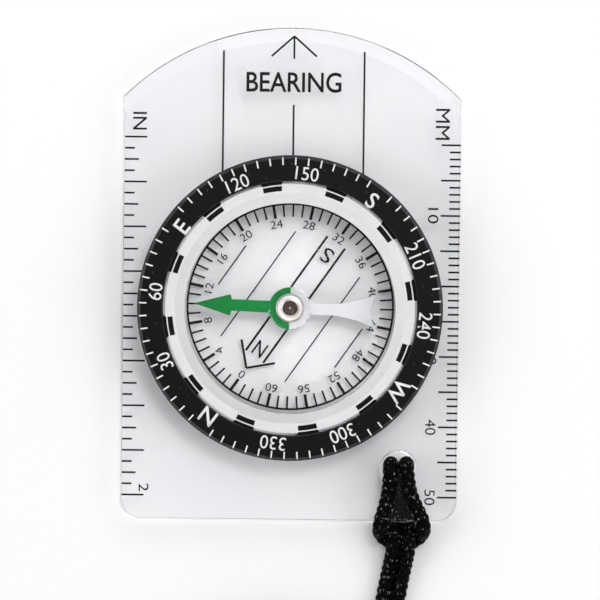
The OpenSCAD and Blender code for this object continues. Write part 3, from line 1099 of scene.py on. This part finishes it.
@dataclass
class Braid:
    """Round braid of strands that cross over and under each other, in mm."""

    radius: float = 1.03
    strands: int = 5
    lay_length: float = 1.1
    relief: float = 0.26
    sides: int = 32
    ring_step: float = 0.2
    end_length: float = 0.5
    end_size: float = 0.12
    under_rise: float = 0.35
    middle_rise: float = 0.62

    def crossing(self, around: float, along: float) -> tuple[float, float]:
        """Finds the braid's surface at one place.

        Args:
            around: Turns around the cord, from 0 to 1.
            along: Distance along the cord.

        Returns:
            Relief from 0 in a gap to 1 on a strand, and which way the strand runs, 0 or 1.
        """
        u = self.strands * around + along / self.lay_length
        v = self.strands * around - along / self.lay_length
        u_cell, v_cell = math.floor(u), math.floor(v)
        over_u = 0.5 + 0.5 * math.cos(math.pi * (v + u_cell))
        over_v = 0.5 - 0.5 * math.cos(math.pi * (u + v_cell))
        crown_u = math.sqrt(max(0.0, 1.0 - (2.0 * (u - u_cell) - 1.0) ** 2))
        crown_v = math.sqrt(max(0.0, 1.0 - (2.0 * (v - v_cell) - 1.0) ** 2))
        low, lift = self.under_rise, 1.0 - self.under_rise
        rise_u, rise_v = crown_u * (low + lift * over_u), crown_v * (low + lift * over_v)
        return (rise_u, 0.0) if rise_u > rise_v else (rise_v, 1.0)

    def sweep(self, name: str, line: list[Vector]) -> bpy.types.Object:
        """Models the braid along a line.

        Args:
            name: Name of the piece.
            line: Evenly spaced points in mm.

        Returns:
            The closed tube in metres, with its own UV map and strand attributes.
        """
        mesh = bmesh.new()
        uv = mesh.loops.layers.uv.new("UVMap")
        relief_layer = mesh.verts.layers.float.new("strand_relief")
        lay_layer = mesh.verts.layers.float.new("strand_lay")
        total = line_length(line)
        side = Vector((1.0, 0.0, 0.0))
        rings, reach = [], 0.0
        for i, point in enumerate(line):
            way = (line[min(i + 1, len(line) - 1)] - line[max(i - 1, 0)]).normalized()
            side = (side - way * side.dot(way)).normalized()
            up = way.cross(side)
            if i:
                reach += (point - line[i - 1]).length
            taper = min(1.0, (total - reach) / self.end_length, reach / self.end_length)
            close = math.sqrt(max(self.end_size, 1.0 - (1.0 - taper) ** 2))
            ring = []
            for k in range(self.sides):
                rise, lay = self.crossing(k / self.sides, reach)
                r = (self.radius + self.relief * (rise - self.middle_rise)) * close
                a = math.tau * k / self.sides
                corner = mesh.verts.new(
                    (point + r * (math.cos(a) * side + math.sin(a) * up)) * MM)
                corner[relief_layer] = rise
                corner[lay_layer] = lay
                ring.append(corner)
            rings.append((reach, ring))
        for (s0, r0), (s1, r1) in zip(rings, rings[1:]):
            for k in range(self.sides):
                n = (k + 1) % self.sides
                face = mesh.faces.new((r0[k], r0[n], r1[n], r1[k]))
                turns = (k / self.sides, (k + 1) / self.sides)
                marks = ((turns[0], s0), (turns[1], s0), (turns[1], s1), (turns[0], s1))
                for corner, (around, along) in zip(face.loops, marks):
                    corner[uv].uv = (around, along * MM)
        for ring, way in ((rings[0], -1), (rings[-1], 1)):
            mesh.faces.new(ring[1][::way])
        mesh.normal_update()
        made = bpy.data.meshes.new(name)
        mesh.to_mesh(made)
        mesh.free()
        for polygon in made.polygons:
            polygon.use_smooth = True
        piece = bpy.data.objects.new(name, made)
        bpy.context.scene.collection.objects.link(piece)
        return piece


@dataclass
class Lanyard:
    """Cord hitched through the plate's hole, coiled beside the plate and knotted, in mm."""

    hole: tuple[float, float] = (15.7, -27.5)
    cord_d: float = 2.0
    rim_top: float = 4.0
    rim_mid: float = 3.1
    rim_low: float = 2.2
    front: float = 5.1
    back: float = 1.1
    low: float = 1.12
    high: float = 3.18
    coil_x: float = -16.7
    coil_y: float = -36.5
    coil_r: float = 15.3
    coil_turns: float = 3.5
    coil_pitch: float = 2.05
    coil_steps: int = 14
    lead_bend_r: float = 4.0
    lead_turn: float = 120.0
    knot_l: float = 6.5
    knot_z: float = 2.75
    knot_squeeze: float = 0.55
    knot_shares: tuple[float, float] = (0.2, 0.8)
    tail_l: float = 2.0
    tail_shares: tuple[float, float] = (0.35, 0.96)
    wrap_r: float = 0.9
    wrap_turns: float = 2.75
    wrap_helix_r: float = 1.8
    wrap_steps: int = 60
    wrap_tuck: float = 0.08
    tuck_r: float = 0.35
    path_step: float = 0.6
    length_a: float = 0.350
    length_b: float = 0.315
    braid: Braid = field(default_factory=Braid)

    def route_a(self) -> list[Point]:
        """Gives the first cord's route from the hole to the coil.

        Returns:
            Its points in mm, measured from the hole's axis.
        """
        top, mid, low = self.rim_top, self.rim_mid, self.rim_low
        return [
            (-1.1, 0.8, mid), (-1.1, 0.7, top), (-1.1, 0.3, top + 0.8),
            (-1.2, -0.7, self.front), (-1.4, -3, self.front), (-1.8, -5, self.front),
            (-2.3, -6.6, self.front), (-2.5, -7.6, top + 1), (-2.55, -8.4, top + 0.4),
            (-2.55, -8.7, 3.4), (-2.5, -9, 2.3), (-2.2, -9.6, 1.4), (-1.4, -10.3, 1.1),
            (-0.5, -10.55, self.low), (0.5, -10.6, self.low), (1.5, -10.55, self.low),
            (2.4, -10.3, 1.1), (3.2, -9.6, 1.4), (3.5, -9, 2.3), (3.55, -8.7, 3.4),
            (3.55, -8.4, top + 0.4), (3.5, -7.6, top + 1), (3.2, -6.6, self.front),
            (2.4, -5, self.front), (1.6, -3, self.front), (1.2, -0.7, self.front),
            (1.1, 0.3, top + 0.8), (1.1, 0.7, top), (1.1, 0.8, mid),
            (1.1, 0.7, low), (1.1, 0.1, low - 0.8), (1.15, -1.1, self.back),
            (1.3, -4, self.back), (1.5, -7, self.back), (1.5, -7.9, 1.2), (1.5, -8.5, 1.7),
            (1.5, -9, 2.5), (1.5, -9.6, 3.05), (1.5, -10.5, 3.2), (1.4, -11.7, 2.9),
            (1.2, -13, 2.1), (0.9, -14.6, 1.3), (0.2, -18.5, self.low),
            (-0.5, -22.5, self.low), (-0.95, -26.5, self.low), (-1.25, -30.5, self.low)]

    def route_b(self) -> list[Point]:
        """Gives the second cord's route from the hole to the coil.

        Returns:
            Its points in mm, measured from the hole's axis.
        """
        return [
            (-1.1, 0.8, self.rim_mid), (-1.1, 0.7, self.rim_low),
            (-1.1, 0.1, self.rim_low - 0.8), (-1.1, -1.1, self.back), (-0.9, -4, self.back),
            (-0.55, -7, self.back), (-0.55, -7.9, 1.2), (-0.55, -8.5, 1.7),
            (-0.55, -9, 2.5), (-0.55, -9.6, 3.05), (-0.55, -10.5, 3.2),
            (-0.65, -11.7, 2.9), (-0.85, -13, 2.1), (-1.15, -14.6, 1.3),
            (-1.9, -18.5, self.low), (-2.2, -21, 1.7), (-2.3, -23.5, 2.7),
            (-2.2, -26, self.high), (-1.6, -30.5, self.high)]

    def coil_centre(self) -> Vector:
        """Returns the coil's centre on the floor."""
        return Vector((self.hole[0] + self.coil_x, self.hole[1] + self.coil_y, 0.0))

    def coil(self, level: float) -> list[Vector]:
        """Draws the spiral of one cord, wound clockwise from outside to inside.

        Args:
            level: Height of the cord.

        Returns:
            Points of the spiral.
        """
        centre, steps = self.coil_centre(), self.coil_steps
        count = round(self.coil_turns * steps)
        line = []
        for k in range(count + 1):
            turns = k / steps
            a = -math.tau * turns
            r = self.coil_r - self.coil_pitch * turns
            line.append(centre + Vector((r * math.cos(a), r * math.sin(a), level)))
        return line

    def lead(self, turn: float, level: float) -> Vector:
        """Finds a point of the bend from the coil's inner turn to the knot.

        Args:
            turn: Degrees of the bend that lie before the point.
            level: Height of the point.

        Returns:
            The point.
        """
        a = math.radians(turn)
        inner = self.coil_r - self.coil_turns * self.coil_pitch
        x = self.lead_bend_r * (1 - math.cos(a)) - inner
        return self.coil_centre() + Vector((x, self.lead_bend_r * math.sin(a), level))

    def knot_axis(self) -> tuple[Vector, Vector]:
        """Returns the start of the knot and the direction that it lies in."""
        a = math.radians(90.0 - self.lead_turn)
        return self.lead(self.lead_turn, self.knot_z), Vector((math.cos(a), math.sin(a), 0.0))

    def whole_line(self, route: list[Point], level: float,
                   squeeze: float) -> list[Vector]:
        """Draws one cord from the plate's hole to its tail beyond the knot.

        Args:
            route: The route from the hole to the coil, from the hole's axis.
            level: Height of the cord in the coil.
            squeeze: Height of the cord over the knot's axis inside the knot.

        Returns:
            Evenly spaced points of the cord's middle line, in mm.
        """
        start = Vector((self.hole[0], self.hole[1], 0.0))
        points = [start + Vector(p) for p in route]
        points += self.coil(level)
        points += [self.lead(turn, level) for turn in range(40, round(self.lead_turn), 20)]
        origin, way = self.knot_axis()
        inside = Vector((0.0, 0.0, squeeze))
        points += [origin + way * (self.knot_l * share) + inside for share in self.knot_shares]
        tail = Vector((0.0, 0.0, level - self.knot_z))
        points += [origin + way * (self.knot_l + self.tail_l * share) + tail
                   for share in self.tail_shares]
        return even_line(smooth_route(points, self.braid.ring_step), self.braid.ring_step)

    def knot_line(self) -> list[Vector]:
        """Draws the middle line of the strand that is wrapped round both cords.

        Returns:
            Evenly spaced points of the line, in mm.
        """
        origin, way = self.knot_axis()
        side = Vector((-way.y, way.x, 0.0))
        up = Vector((0.0, 0.0, 1.0))
        length = self.knot_l - 2 * self.wrap_r
        line, count = [], self.wrap_steps
        for k in range(count + 1):
            share = k / count
            a = math.tau * self.wrap_turns * share
            tuck = min(1.0, share / self.wrap_tuck, (1.0 - share) / self.wrap_tuck)
            r = self.wrap_helix_r * (self.tuck_r + (1.0 - self.tuck_r) * tuck)
            along = self.wrap_r + length * share
            line.append(origin + way * along + side * (r * math.cos(a)) + up * (r * math.sin(a)))
        return even_line(line, self.braid.ring_step)

    def build(self) -> list[bpy.types.Object]:
        """Builds and dresses both cords and their knot.

        Returns:
            The two cords and the knot.
        """
        low, high = -self.knot_squeeze, self.knot_squeeze
        line_a = self.whole_line(self.route_a(), self.low, low)
        line_b = self.whole_line(self.route_b(), self.high, high)
        cord_a = self.braid.sweep("cord_first", line_a)
        cord_b = self.braid.sweep("cord_second", line_b)
        wrap = Braid(radius=self.wrap_r)
        knot = wrap.sweep("end_knot", self.knot_line())
        dress(BraidedNylon().make(), cord_a, cord_b, knot)
        for piece in (cord_a, cord_b, knot):
            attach(piece, Body.PLATE.value)
        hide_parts("lanyard_cord_a", "lanyard_coil")
        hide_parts("lanyard_cord_b", "lanyard_coil")
        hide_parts("lanyard_knot")
        for cord, line, length in ((cord_a, line_a, self.length_a),
                                   (cord_b, line_b, self.length_b)):
            path = [tuple(point * MM) for point in even_line(line, self.path_step)]
            log.info("%s: %.1f mm long", cord.name, line_length(line))
        return [cord_a, cord_b, knot]


# ---------------------------------------------------------------- printing


@dataclass(frozen=True)
class Label:
    """One printed word: its letters, its middle on the plate, and its size, in mm."""

    text: str
    x: float
    y: float
    cap: float
    width: float | None = None
    weight: float = 0.0


@dataclass
class Printing:
    """One printing on a flat face, made of bars, rings and words of the same ink, in mm."""

    name: str
    level: float
    turn: float = 0.0
    film: float = 0.02
    bite: float = 0.005
    letter_steps: int = 4
    marks: list[bpy.types.Object] = field(default_factory=list)

    def bar(self, width: float, length: float, fold: tuple[float, float] | None = None
            ) -> bpy.types.Object:
        """Models one bar from the origin along +X.

        Args:
            width: Width of the bar.
            length: Length of its flat part.
            fold: How far the bar goes on over a slanted edge, and how deep it goes there.

        Returns:
            The bar, a master for its copies.
        """
        deselect_all()
        bpy.ops.mesh.primitive_plane_add(size=1.0)
        master = bpy.context.view_layer.objects.active
        with editing(master, "EDGE"):
            bpy.ops.mesh.select_all(action="SELECT")
            bpy.ops.transform.resize(value=(length * MM, width * MM, 1.0))
            bpy.ops.transform.translate(value=(length * MM / 2, 0.0, 0.0))
            if fold:
                select_edges(master, lambda middle: middle.x > length * MM * 0.9)
                bpy.ops.mesh.extrude_region_move(
                    TRANSFORM_OT_translate={"value": (fold[0] * MM, 0.0, -fold[1] * MM)})
        tidy_shell(master)
        thicken(master, self.film * MM)
        return master

    def word(self, text: str, cap: float, width: float | None = None,
             narrow: float = 0.86, weight: float = 0.0) -> bpy.types.Object:
        """Models a word or a number, centred at the origin.

        Args:
            text: The letters.
            cap: Height of the letters.
            width: Width of the whole word, if it is set.
            narrow: Width of the letters to their natural width, if no width is set.
            weight: How much the strokes are widened, to the size of the letters.

        Returns:
            The word, a master for its copies.
        """
        deselect_all()
        bpy.ops.object.text_add()
        master = bpy.context.view_layer.objects.active
        master.data.body = text
        master.data.size = 1.0
        master.data.offset = weight
        master.data.resolution_u = self.letter_steps
        bpy.ops.object.convert(target="MESH")
        master = bpy.context.view_layer.objects.active
        xs = [v.co.x for v in master.data.vertices]
        ys = [v.co.y for v in master.data.vertices]
        tall = cap * MM / (max(ys) - min(ys))
        wide = width * MM / (max(xs) - min(xs)) if width else tall * narrow
        middle = Vector(((max(xs) + min(xs)) / 2, (max(ys) + min(ys)) / 2, 0.0))
        scale = Matrix.Diagonal((wide, tall, 1.0, 1.0))
        apply_place(master, scale @ Matrix.Translation(-middle))
        tidy_shell(master)
        face_up(master)
        thicken(master, self.film * MM)
        return master

    def ring(self, outer: float, width: float, sides: int = 180) -> bpy.types.Object:
        """Models a printed ring round the origin.

        Args:
            outer: Radius of its outside.
            width: Width of its line.
            sides: Number of straight sides that draw it.

        Returns:
            The ring.
        """
        deselect_all()
        inner = outer - width
        bpy.ops.mesh.primitive_circle_add(vertices=sides, radius=inner * MM)
        master = bpy.context.view_layer.objects.active
        grow = outer / inner
        with editing(master, "EDGE"):
            bpy.ops.mesh.select_all(action="SELECT")
            bpy.ops.mesh.extrude_edges_move()
            bpy.ops.transform.resize(value=(grow, grow, 1.0))
        face_up(master)
        thicken(master, self.film * MM)
        return master

    def stamp(self, master: bpy.types.Object, x: float, y: float, turn: float = 0.0) -> None:
        """Puts a copy of a master on the printed face.

        Args:
            master: The shape to print.
            x: Place across the plate.
            y: Place along the plate.
            turn: Direction of the master's +X, in degrees.
        """
        place = Matrix.Translation(Vector((x, y, self.level - self.bite)) * MM)
        self.marks.append(copy_at(master, place @ Matrix.Rotation(math.radians(turn), 4, "Z")))

    def line(self, a: tuple[float, float], b: tuple[float, float], width: float) -> None:
        """Prints a straight line.

        Args:
            a: Start of the line.
            b: End of the line.
            width: Width of the line.
        """
        way = Vector(b) - Vector(a)
        master = self.bar(width, way.length)
        self.stamp(master, a[0], a[1], math.degrees(math.atan2(way.y, way.x)))
        bpy.data.objects.remove(master)

    def on_dial(self, master: bpy.types.Object, radius: float, bearing: float,
                upright: bool = False, inwards: bool = False) -> None:
        """Puts a copy of a master on the dial.

        Args:
            master: The shape to print.
            radius: Its distance from the dial's axis.
            bearing: Its bearing on the dial, clockwise from north.
            upright: True for a word, whose top points outwards.
            inwards: True for a bar that runs towards the axis.
        """
        heading = DIAL.heading(bearing) + self.turn
        spot = DIAL.point(radius, heading)
        turn = heading - 90.0 if upright else heading + 180.0 if inwards else heading
        self.stamp(master, spot.x, spot.y, turn)

    def print_word(self, label: Label, turn: float = 0.0) -> None:
        """Prints one word.

        Args:
            label: The word, its place and its size.
            turn: Direction that the word reads in, in degrees from +X.
        """
        master = self.word(label.text, label.cap, label.width, weight=label.weight)
        self.stamp(master, label.x, label.y, turn)
        bpy.data.objects.remove(master)

    def finish(self, body: Body, slot: Slot, material: bpy.types.Material
               ) -> bpy.types.Object:
        """Joins all the marks into one piece of ink.

        Args:
            body: The body that it rides on.
            slot: Not used.
            material: Its material.

        Returns:
            The piece.
        """
        piece = join_pieces(self.marks, self.name)
        dress(material, piece)
        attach(piece, body.value)
        return piece


# ---------------------------------------------------------------- plate


@dataclass
class Baseplate:
    """Clear plate with its travel arrow, bearing lines and two rulers, in mm."""

    top: float = 4.0
    left_edge: float = -23.65
    right_edge: float = 23.9
    heading_x: float = 0.17
    fine_line: float = 0.26
    guide_line: float = 0.27
    guide_x: float = 9.95
    guide_top: float = 31.7
    guide_end: float = 10.6
    centre_top: float = 24.1
    centre_end: float = 13.6
    arrow_tip: float = 33.8
    arrow_half: float = 3.2
    arrow_foot: float = 30.95
    arrow_stem: float = 30.6
    heading_word: Label = Label("BEARING", 0.17, 27.3, 2.85, 13.45, 0.012)
    inch: float = 25.4
    inch_zero: float = 19.35
    inch_ticks: tuple[float, float, float] = (3.15, 2.0, 1.42)
    inch_end: int = 2
    inch_labels: tuple[Label, ...] = (
        Label("IN", -21.55, 21.6, 1.95, 2.5, 0.004),
        Label("1", -20.5, -5.0, 1.4),
        Label("2", -20.5, -30.4, 1.4, 1.1),
    )
    metric_ticks: tuple[float, float] = (1.55, 2.75)
    metric_label: Label = Label("MM", 21.3, 21.6, 2.0, 4.4)
    metric_zero: float = 18.65
    metric_marks: int = 50
    side_text_turn: float = -90.0
    numeral_x: float = 20.1
    numeral_cap: float = 1.5
    numeral_width: float = 2.2

    def inch_tick(self, sixteenth: int) -> int:
        """Returns which of the inch ruler's tick lengths belongs at a sixteenth."""
        return 0 if sixteenth % 4 == 0 else 1 if sixteenth % 2 == 0 else 2

    def print_inches(self, ink: Printing) -> None:
        """Prints the inch ruler along the left edge.

        Args:
            ink: The printing that takes the marks.
        """
        masters = [ink.bar(self.fine_line, length) for length in self.inch_ticks]
        for sixteenth in range(16 * self.inch_end + 1):
            y = self.inch_zero - self.inch * sixteenth / 16
            ink.stamp(masters[self.inch_tick(sixteenth)], self.left_edge, y)
        for master in masters:
            bpy.data.objects.remove(master)
        for label in self.inch_labels:
            ink.print_word(label, self.side_text_turn)

    def print_millimetres(self, ink: Printing) -> None:
        """Prints the metric ruler along the right edge.

        Args:
            ink: The printing that takes the marks.
        """
        short, long = (ink.bar(self.fine_line, length) for length in self.metric_ticks)
        for mark in range(self.metric_marks + 1):
            master = long if mark % 5 == 0 else short
            ink.stamp(master, self.right_edge, self.metric_zero - mark, 180.0)
        for master in (short, long):
            bpy.data.objects.remove(master)
        for number in range(10, self.metric_marks + 1, 10):
            ink.print_word(Label(str(number), self.numeral_x, self.metric_zero - number,
                                 self.numeral_cap, self.numeral_width), self.side_text_turn)
        ink.print_word(self.metric_label, self.side_text_turn)

    def print_heading(self, ink: Printing) -> None:
        """Prints the travel arrow, the heading word and the three guide lines.

        Args:
            ink: The printing that takes the marks.
        """
        middle = self.heading_x
        tip = (middle, self.arrow_tip)
        for side in (-1, 1):
            ink.line(tip, (middle + side * self.arrow_half, self.arrow_foot), self.guide_line)
            x = middle + side * self.guide_x
            ink.line((x, self.guide_top), (x, self.guide_end), self.guide_line)
        ink.line(tip, (middle, self.arrow_stem), self.guide_line)
        ink.line((middle, self.centre_top), (middle, self.centre_end), self.guide_line)
        ink.print_word(self.heading_word)

    def build(self) -> bpy.types.Object:
        """Dresses the plate and models its printing.

        Returns:
            The printing.
        """
        clear = ClearPlastic("clear_acrylic", tint=(0.888, 0.886, 0.9, 1.0),
                             light_tint=(0.908, 0.906, 0.914, 1.0), smooth=0.02, worn=0.1,
                             scratches=0.35, veil=(0.92, 0.921, 0.93, 1.0))
        dress(clear.make(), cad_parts["baseplate"])
        ink = Printing("plate_print", self.top)
        self.print_inches(ink)
        self.print_millimetres(ink)
        self.print_heading(ink)
        return ink.finish(Body.PLATE, Slot.BLACK_INK, black_ink())


def black_ink() -> bpy.types.Material:
    """Returns the black ink, made once."""
    made = bpy.data.materials.get("black_ink")
    return made or PrintedInk("black_ink", (0.006, 0.006, 0.007, 1.0)).make()


# ---------------------------------------------------------------- bezel ring


@dataclass
class Bezel:
    """Black ring with its degree scale in white, in mm and degrees."""

    top: float = 7.5
    print_turn: float = -0.6
    tick_step: int = 5
    tick_start: float = 20.25
    tick_width: float = 0.2
    flat_edge: float = 21.1
    bevel: tuple[float, float] = (0.2, 0.36)
    numeral_radius: float = 19.12
    numeral_cap: float = 1.9
    numeral_narrow: float = 0.95
    numeral_weight: float = 0.002
    numeral_step: int = 30
    letter_cap: float = 2.3
    letter_weight: float = 0.012
    letters: tuple[tuple[str, int], ...] = (("N", 0), ("E", 90), ("S", 180), ("W", 270))

    def build(self) -> bpy.types.Object:
        """Dresses the ring and models its printing.

        Returns:
            The printing.
        """
        # Its second colour paints slanted faces paler: partly wear, partly a painted sheen.
        plastic = MouldedPlastic("black_moulding", (0.0035, 0.0035, 0.004, 1.0),
                                 (0.032, 0.032, 0.034, 1.0))
        dress(plastic.make(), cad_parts["bezel_ring"])
        ink = Printing("bezel_print", self.top, self.print_turn)
        tick = ink.bar(self.tick_width, self.flat_edge - self.tick_start, self.bevel)
        named = {bearing: letter for letter, bearing in self.letters}
        for bearing in range(0, 360, self.tick_step):
            if bearing not in named:
                ink.on_dial(tick, self.tick_start, bearing)
            if bearing % self.numeral_step == 0:
                if bearing in named:
                    word = ink.word(named[bearing], self.letter_cap, narrow=1.0,
                                    weight=self.letter_weight)
                else:
                    word = ink.word(str(bearing), self.numeral_cap,
                                    narrow=self.numeral_narrow, weight=self.numeral_weight)
                ink.on_dial(word, self.numeral_radius, bearing, upright=True)
                bpy.data.objects.remove(word)
        bpy.data.objects.remove(tick)
        white = PrintedInk("white_ink", (0.80, 0.80, 0.79, 1.0),
                           Grain(9000.0, 0.18, 0.5, 0.2))
        return ink.finish(Body.DIAL, Slot.WHITE_INK, white.make())


# ---------------------------------------------------------------- capsule


@dataclass
class Capsule:
    """Clear capsule with the mil scale and orienting marks on its floor, in mm."""

    floor: float = 1.0
    print_turn: float = 1.1
    scale_radius: float = 14.5
    scale_line: float = 0.28
    divisions: int = 64
    major_every: int = 4
    tick: tuple[float, float] = (0.25, 1.8)
    major_tick: tuple[float, float] = (0.4, 1.9)
    numeral_radius: float = 11.65
    numeral_cap: float = 1.12
    numeral_narrow: float = 1.12
    pair_x: float = 1.5
    pair_line: float = 0.31
    pair_north: float = 8.6
    pair_south: float = 11.05
    meridians: tuple[float, ...] = (5.5, 10.0)
    meridian_line: float = 0.18
    meridian_radius: float = 10.55
    chevron_tip: float = 10.55
    chevron_leg: float = 4.05
    letter_cap: float = 2.15
    letter_width: float = 1.5
    letter_weight: float = 0.004
    north_letter: float = 7.3
    south_letter: float = 8.8
    refraction: float = 1.12
    weld_level: float = 6.2
    weld_gap: float = 0.03
    weld_slack: float = 0.001
    smooth_angle: float = 20.0
    frost_level: float = 7.195
    frost_film: float = 0.02
    frost_radii: tuple[float, ...] = (14.87, 16.25, 16.6, 17.32, 17.5, 17.62)
    slope_rise: float = 1.0
    frost_sides: int = 240
    window_half_arc: float = 4.6
    tab_step: float = 30.0

    def print_scale(self, ink: Printing) -> None:
        """Prints the circle, the 64 divisions and every fourth one's number.

        Args:
            ink: The printing that takes the marks.
        """
        circle = ink.ring(self.scale_radius, self.scale_line)
        ink.stamp(circle, 0.0, DIAL.axis_y)
        masters = (ink.bar(*self.tick), ink.bar(*self.major_tick))
        start = self.scale_radius - self.scale_line / 2
        for division in range(self.divisions):
            bearing = 360.0 * division / self.divisions
            major = division % self.major_every == 0
            ink.on_dial(masters[major], start, bearing, inwards=True)
            if major:
                number = ink.word(str(division), self.numeral_cap, narrow=self.numeral_narrow)
                ink.on_dial(number, self.numeral_radius, bearing, upright=True)
                bpy.data.objects.remove(number)
        for master in (circle, *masters):
            bpy.data.objects.remove(master)

    def turned(self, across: float, along: float) -> tuple[float, float]:
        """Finds a point of the capsule's printing by its offset from the north line.

        Args:
            across: Distance to the right of the dial's north line.
            along: Distance towards north from the axis.

        Returns:
            The point's place on the plate.
        """
        a = math.radians(DIAL.north + self.print_turn)
        return (along * math.cos(a) + across * math.sin(a),
                DIAL.axis_y + along * math.sin(a) - across * math.cos(a))

    def print_orienting_marks(self, ink: Printing) -> None:
        """Prints the arrow, the lines beside it and the two letters.

        Args:
            ink: The printing that takes the marks.
        """
        for side in (-1, 1):
            x = side * self.pair_x
            ink.line(self.turned(x, -self.pair_south), self.turned(x, self.pair_north),
                     self.pair_line)
            leg = self.chevron_leg / math.sqrt(2.0)
            ink.line(self.turned(0.0, self.chevron_tip),
                     self.turned(side * leg, self.chevron_tip - leg), self.pair_line)
            for offset in self.meridians:
                half = math.sqrt(self.meridian_radius ** 2 - offset ** 2)
                ink.line(self.turned(side * offset, -half), self.turned(side * offset, half),
                         self.meridian_line)
        for text, along in (("N", self.north_letter), ("S", -self.south_letter)):
            x, y = self.turned(0.0, along)
            label = Label(text, x, y, self.letter_cap, self.letter_width, self.letter_weight)
            ink.print_word(label, DIAL.north + self.print_turn - 90.0)

    def in_gap(self, middle: Vector) -> bool:
        """Tells whether a place on the flange lies in a window or a notch.

        Args:
            middle: The place, in metres.

        Returns:
            True where the flange is open.
        """
        offset = middle / MM - Vector((0.0, DIAL.axis_y, 0.0))
        inner, outer, notch = self.frost_radii[2:5]
        heading = math.degrees(math.atan2(offset.y, offset.x))
        arc = (heading - DIAL.north) % self.tab_step - self.tab_step / 2
        radius = math.hypot(offset.x, offset.y)
        return abs(arc) < self.window_half_arc and (inner < radius < outer or radius > notch)

    def build_window(self) -> bpy.types.Object:
        """Copies the lid, with the gap of its weld left open above the bowl's rim.

        Returns:
            The copy.
        """
        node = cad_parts["capsule_lid"]
        window = bpy.data.objects.new("capsule_window", node.data.copy())
        bpy.context.scene.collection.objects.link(window)
        apply_place(window, node.matrix_world.copy())
        with editing(window, "VERT"):
            bpy.ops.mesh.select_all(action="SELECT")
            bpy.ops.mesh.remove_doubles(threshold=MERGE)
        for vertex in window.data.vertices:
            if abs(vertex.co.z - self.weld_level * MM) < self.weld_slack * MM:
                vertex.co.z += self.weld_gap * MM
        make_active(window)
        bpy.ops.object.shade_smooth_by_angle(angle=math.radians(self.smooth_angle))
        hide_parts("capsule_lid")
        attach(window, Body.DIAL.value)
        return window

    def build_frost(self) -> bpy.types.Object:
        """Models the frosted slope and flange of the lid, open at its windows and notches.

        Returns:
            The frosted skin.
        """
        deselect_all()
        first = self.frost_radii[0]
        bpy.ops.mesh.primitive_circle_add(vertices=self.frost_sides, radius=first * MM)
        frost = bpy.context.view_layer.objects.active
        frost.name = "flange_frost"
        with editing(frost, "EDGE"):
            bpy.ops.mesh.select_all(action="SELECT")
            for inner, outer in zip(self.frost_radii, self.frost_radii[1:]):
                drop = self.slope_rise if inner == first else 0.0
                bpy.ops.mesh.extrude_edges_move()
                bpy.ops.transform.resize(value=(outer / inner, outer / inner, 1.0))
                bpy.ops.transform.translate(value=(0.0, 0.0, -drop * MM))
        level = self.frost_level + self.slope_rise
        apply_place(frost, Matrix.Translation(Vector((0.0, DIAL.axis_y, level)) * MM))
        with editing(frost):
            select_faces(frost, lambda middle, normal: self.in_gap(middle))
            bpy.ops.mesh.delete(type="FACE")
        face_up(frost)
        thicken(frost, self.frost_film * MM)
        dress(FrostedPlastic().make(), frost)
        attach(frost, Body.DIAL.value)
        return frost

    def build(self) -> bpy.types.Object:
        """Dresses the capsule and models its printing.

        Returns:
            The printing.
        """
        clear = ClearPlastic("clear_moulding", tint=(0.953, 0.952, 0.955, 1.0),
                             light_tint=(0.973, 0.972, 0.975, 1.0), smooth=0.03, worn=0.1,
                             scratches=0.2, refraction=self.refraction)
        material = clear.make()
        dress(material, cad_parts["capsule_bowl"], self.build_window())
        self.build_frost()
        ink = Printing("capsule_print", self.floor, self.print_turn)
        self.print_scale(ink)
        self.print_orienting_marks(ink)
        return ink.finish(Body.DIAL, Slot.BLACK_INK, black_ink())


# ---------------------------------------------------------------- needle


@dataclass
class Needle:
    """Painted needle on a steel pin, with the radii in mm up to which cup and pin carry a painted
    dark reflection.
    """

    cup_stain: float = 1.05
    pin_stain: float = 0.3

    def build(self) -> list[bpy.types.Object]:
        """Dresses the needle's pieces and the pin.

        Returns:
            The dressed nodes.
        """
        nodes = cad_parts
        steel = TurnedMetal("ground_steel", colour=(0.62, 0.62, 0.63, 1.0),
                            stain=(0.3, 0.28, 0.26, 1.0), stain_radius=self.pin_stain,
                            smooth=0.18, worn=0.35)
        nickel = TurnedMetal("turned_nickel", colour=(0.80, 0.775, 0.74, 1.0),
                             stain=(0.30, 0.24, 0.20, 1.0), stain_radius=self.cup_stain,
                             smooth=0.38, worn=0.6)
        # Its second colour paints slanted faces paler: partly wear, partly a painted sheen.
        magnet = MouldedPlastic("magnet_alloy", colour=(0.09, 0.09, 0.095, 1.0),
                                edge_colour=(0.2, 0.2, 0.2, 1.0),
                                grain=Grain(5200.0, 0.3, 0.35, 0.16))
        finishes = {"needle_vane": NeedlePaint(), "needle_magnet": magnet,
                    "bearing_cup": nickel, "bearing_jewel": PolishedJewel(),
                    "pivot_pin": steel}
        for name, finish in finishes.items():
            dress(finish.make(), nodes[name])
        return [nodes[name] for name in finishes]


def main() -> None:
    """Builds the studio and every sub-assembly in order."""
    logging.basicConfig(level=logging.INFO, format="%(name)s: %(message)s")
    Studio().build()
    log.info("studio built")
    for piece in Lanyard().build():
        log.info("%s built, %d faces", piece.name, len(piece.data.polygons))
    for assembly in (Baseplate(), Bezel(), Capsule()):
        piece = assembly.build()
        log.info("%s built, %d faces", piece.name, len(piece.data.polygons))
    for piece in Needle().build():
        log.info("%s dressed", piece.name)
    deselect_all()


if __name__ == "__main__":
    main()
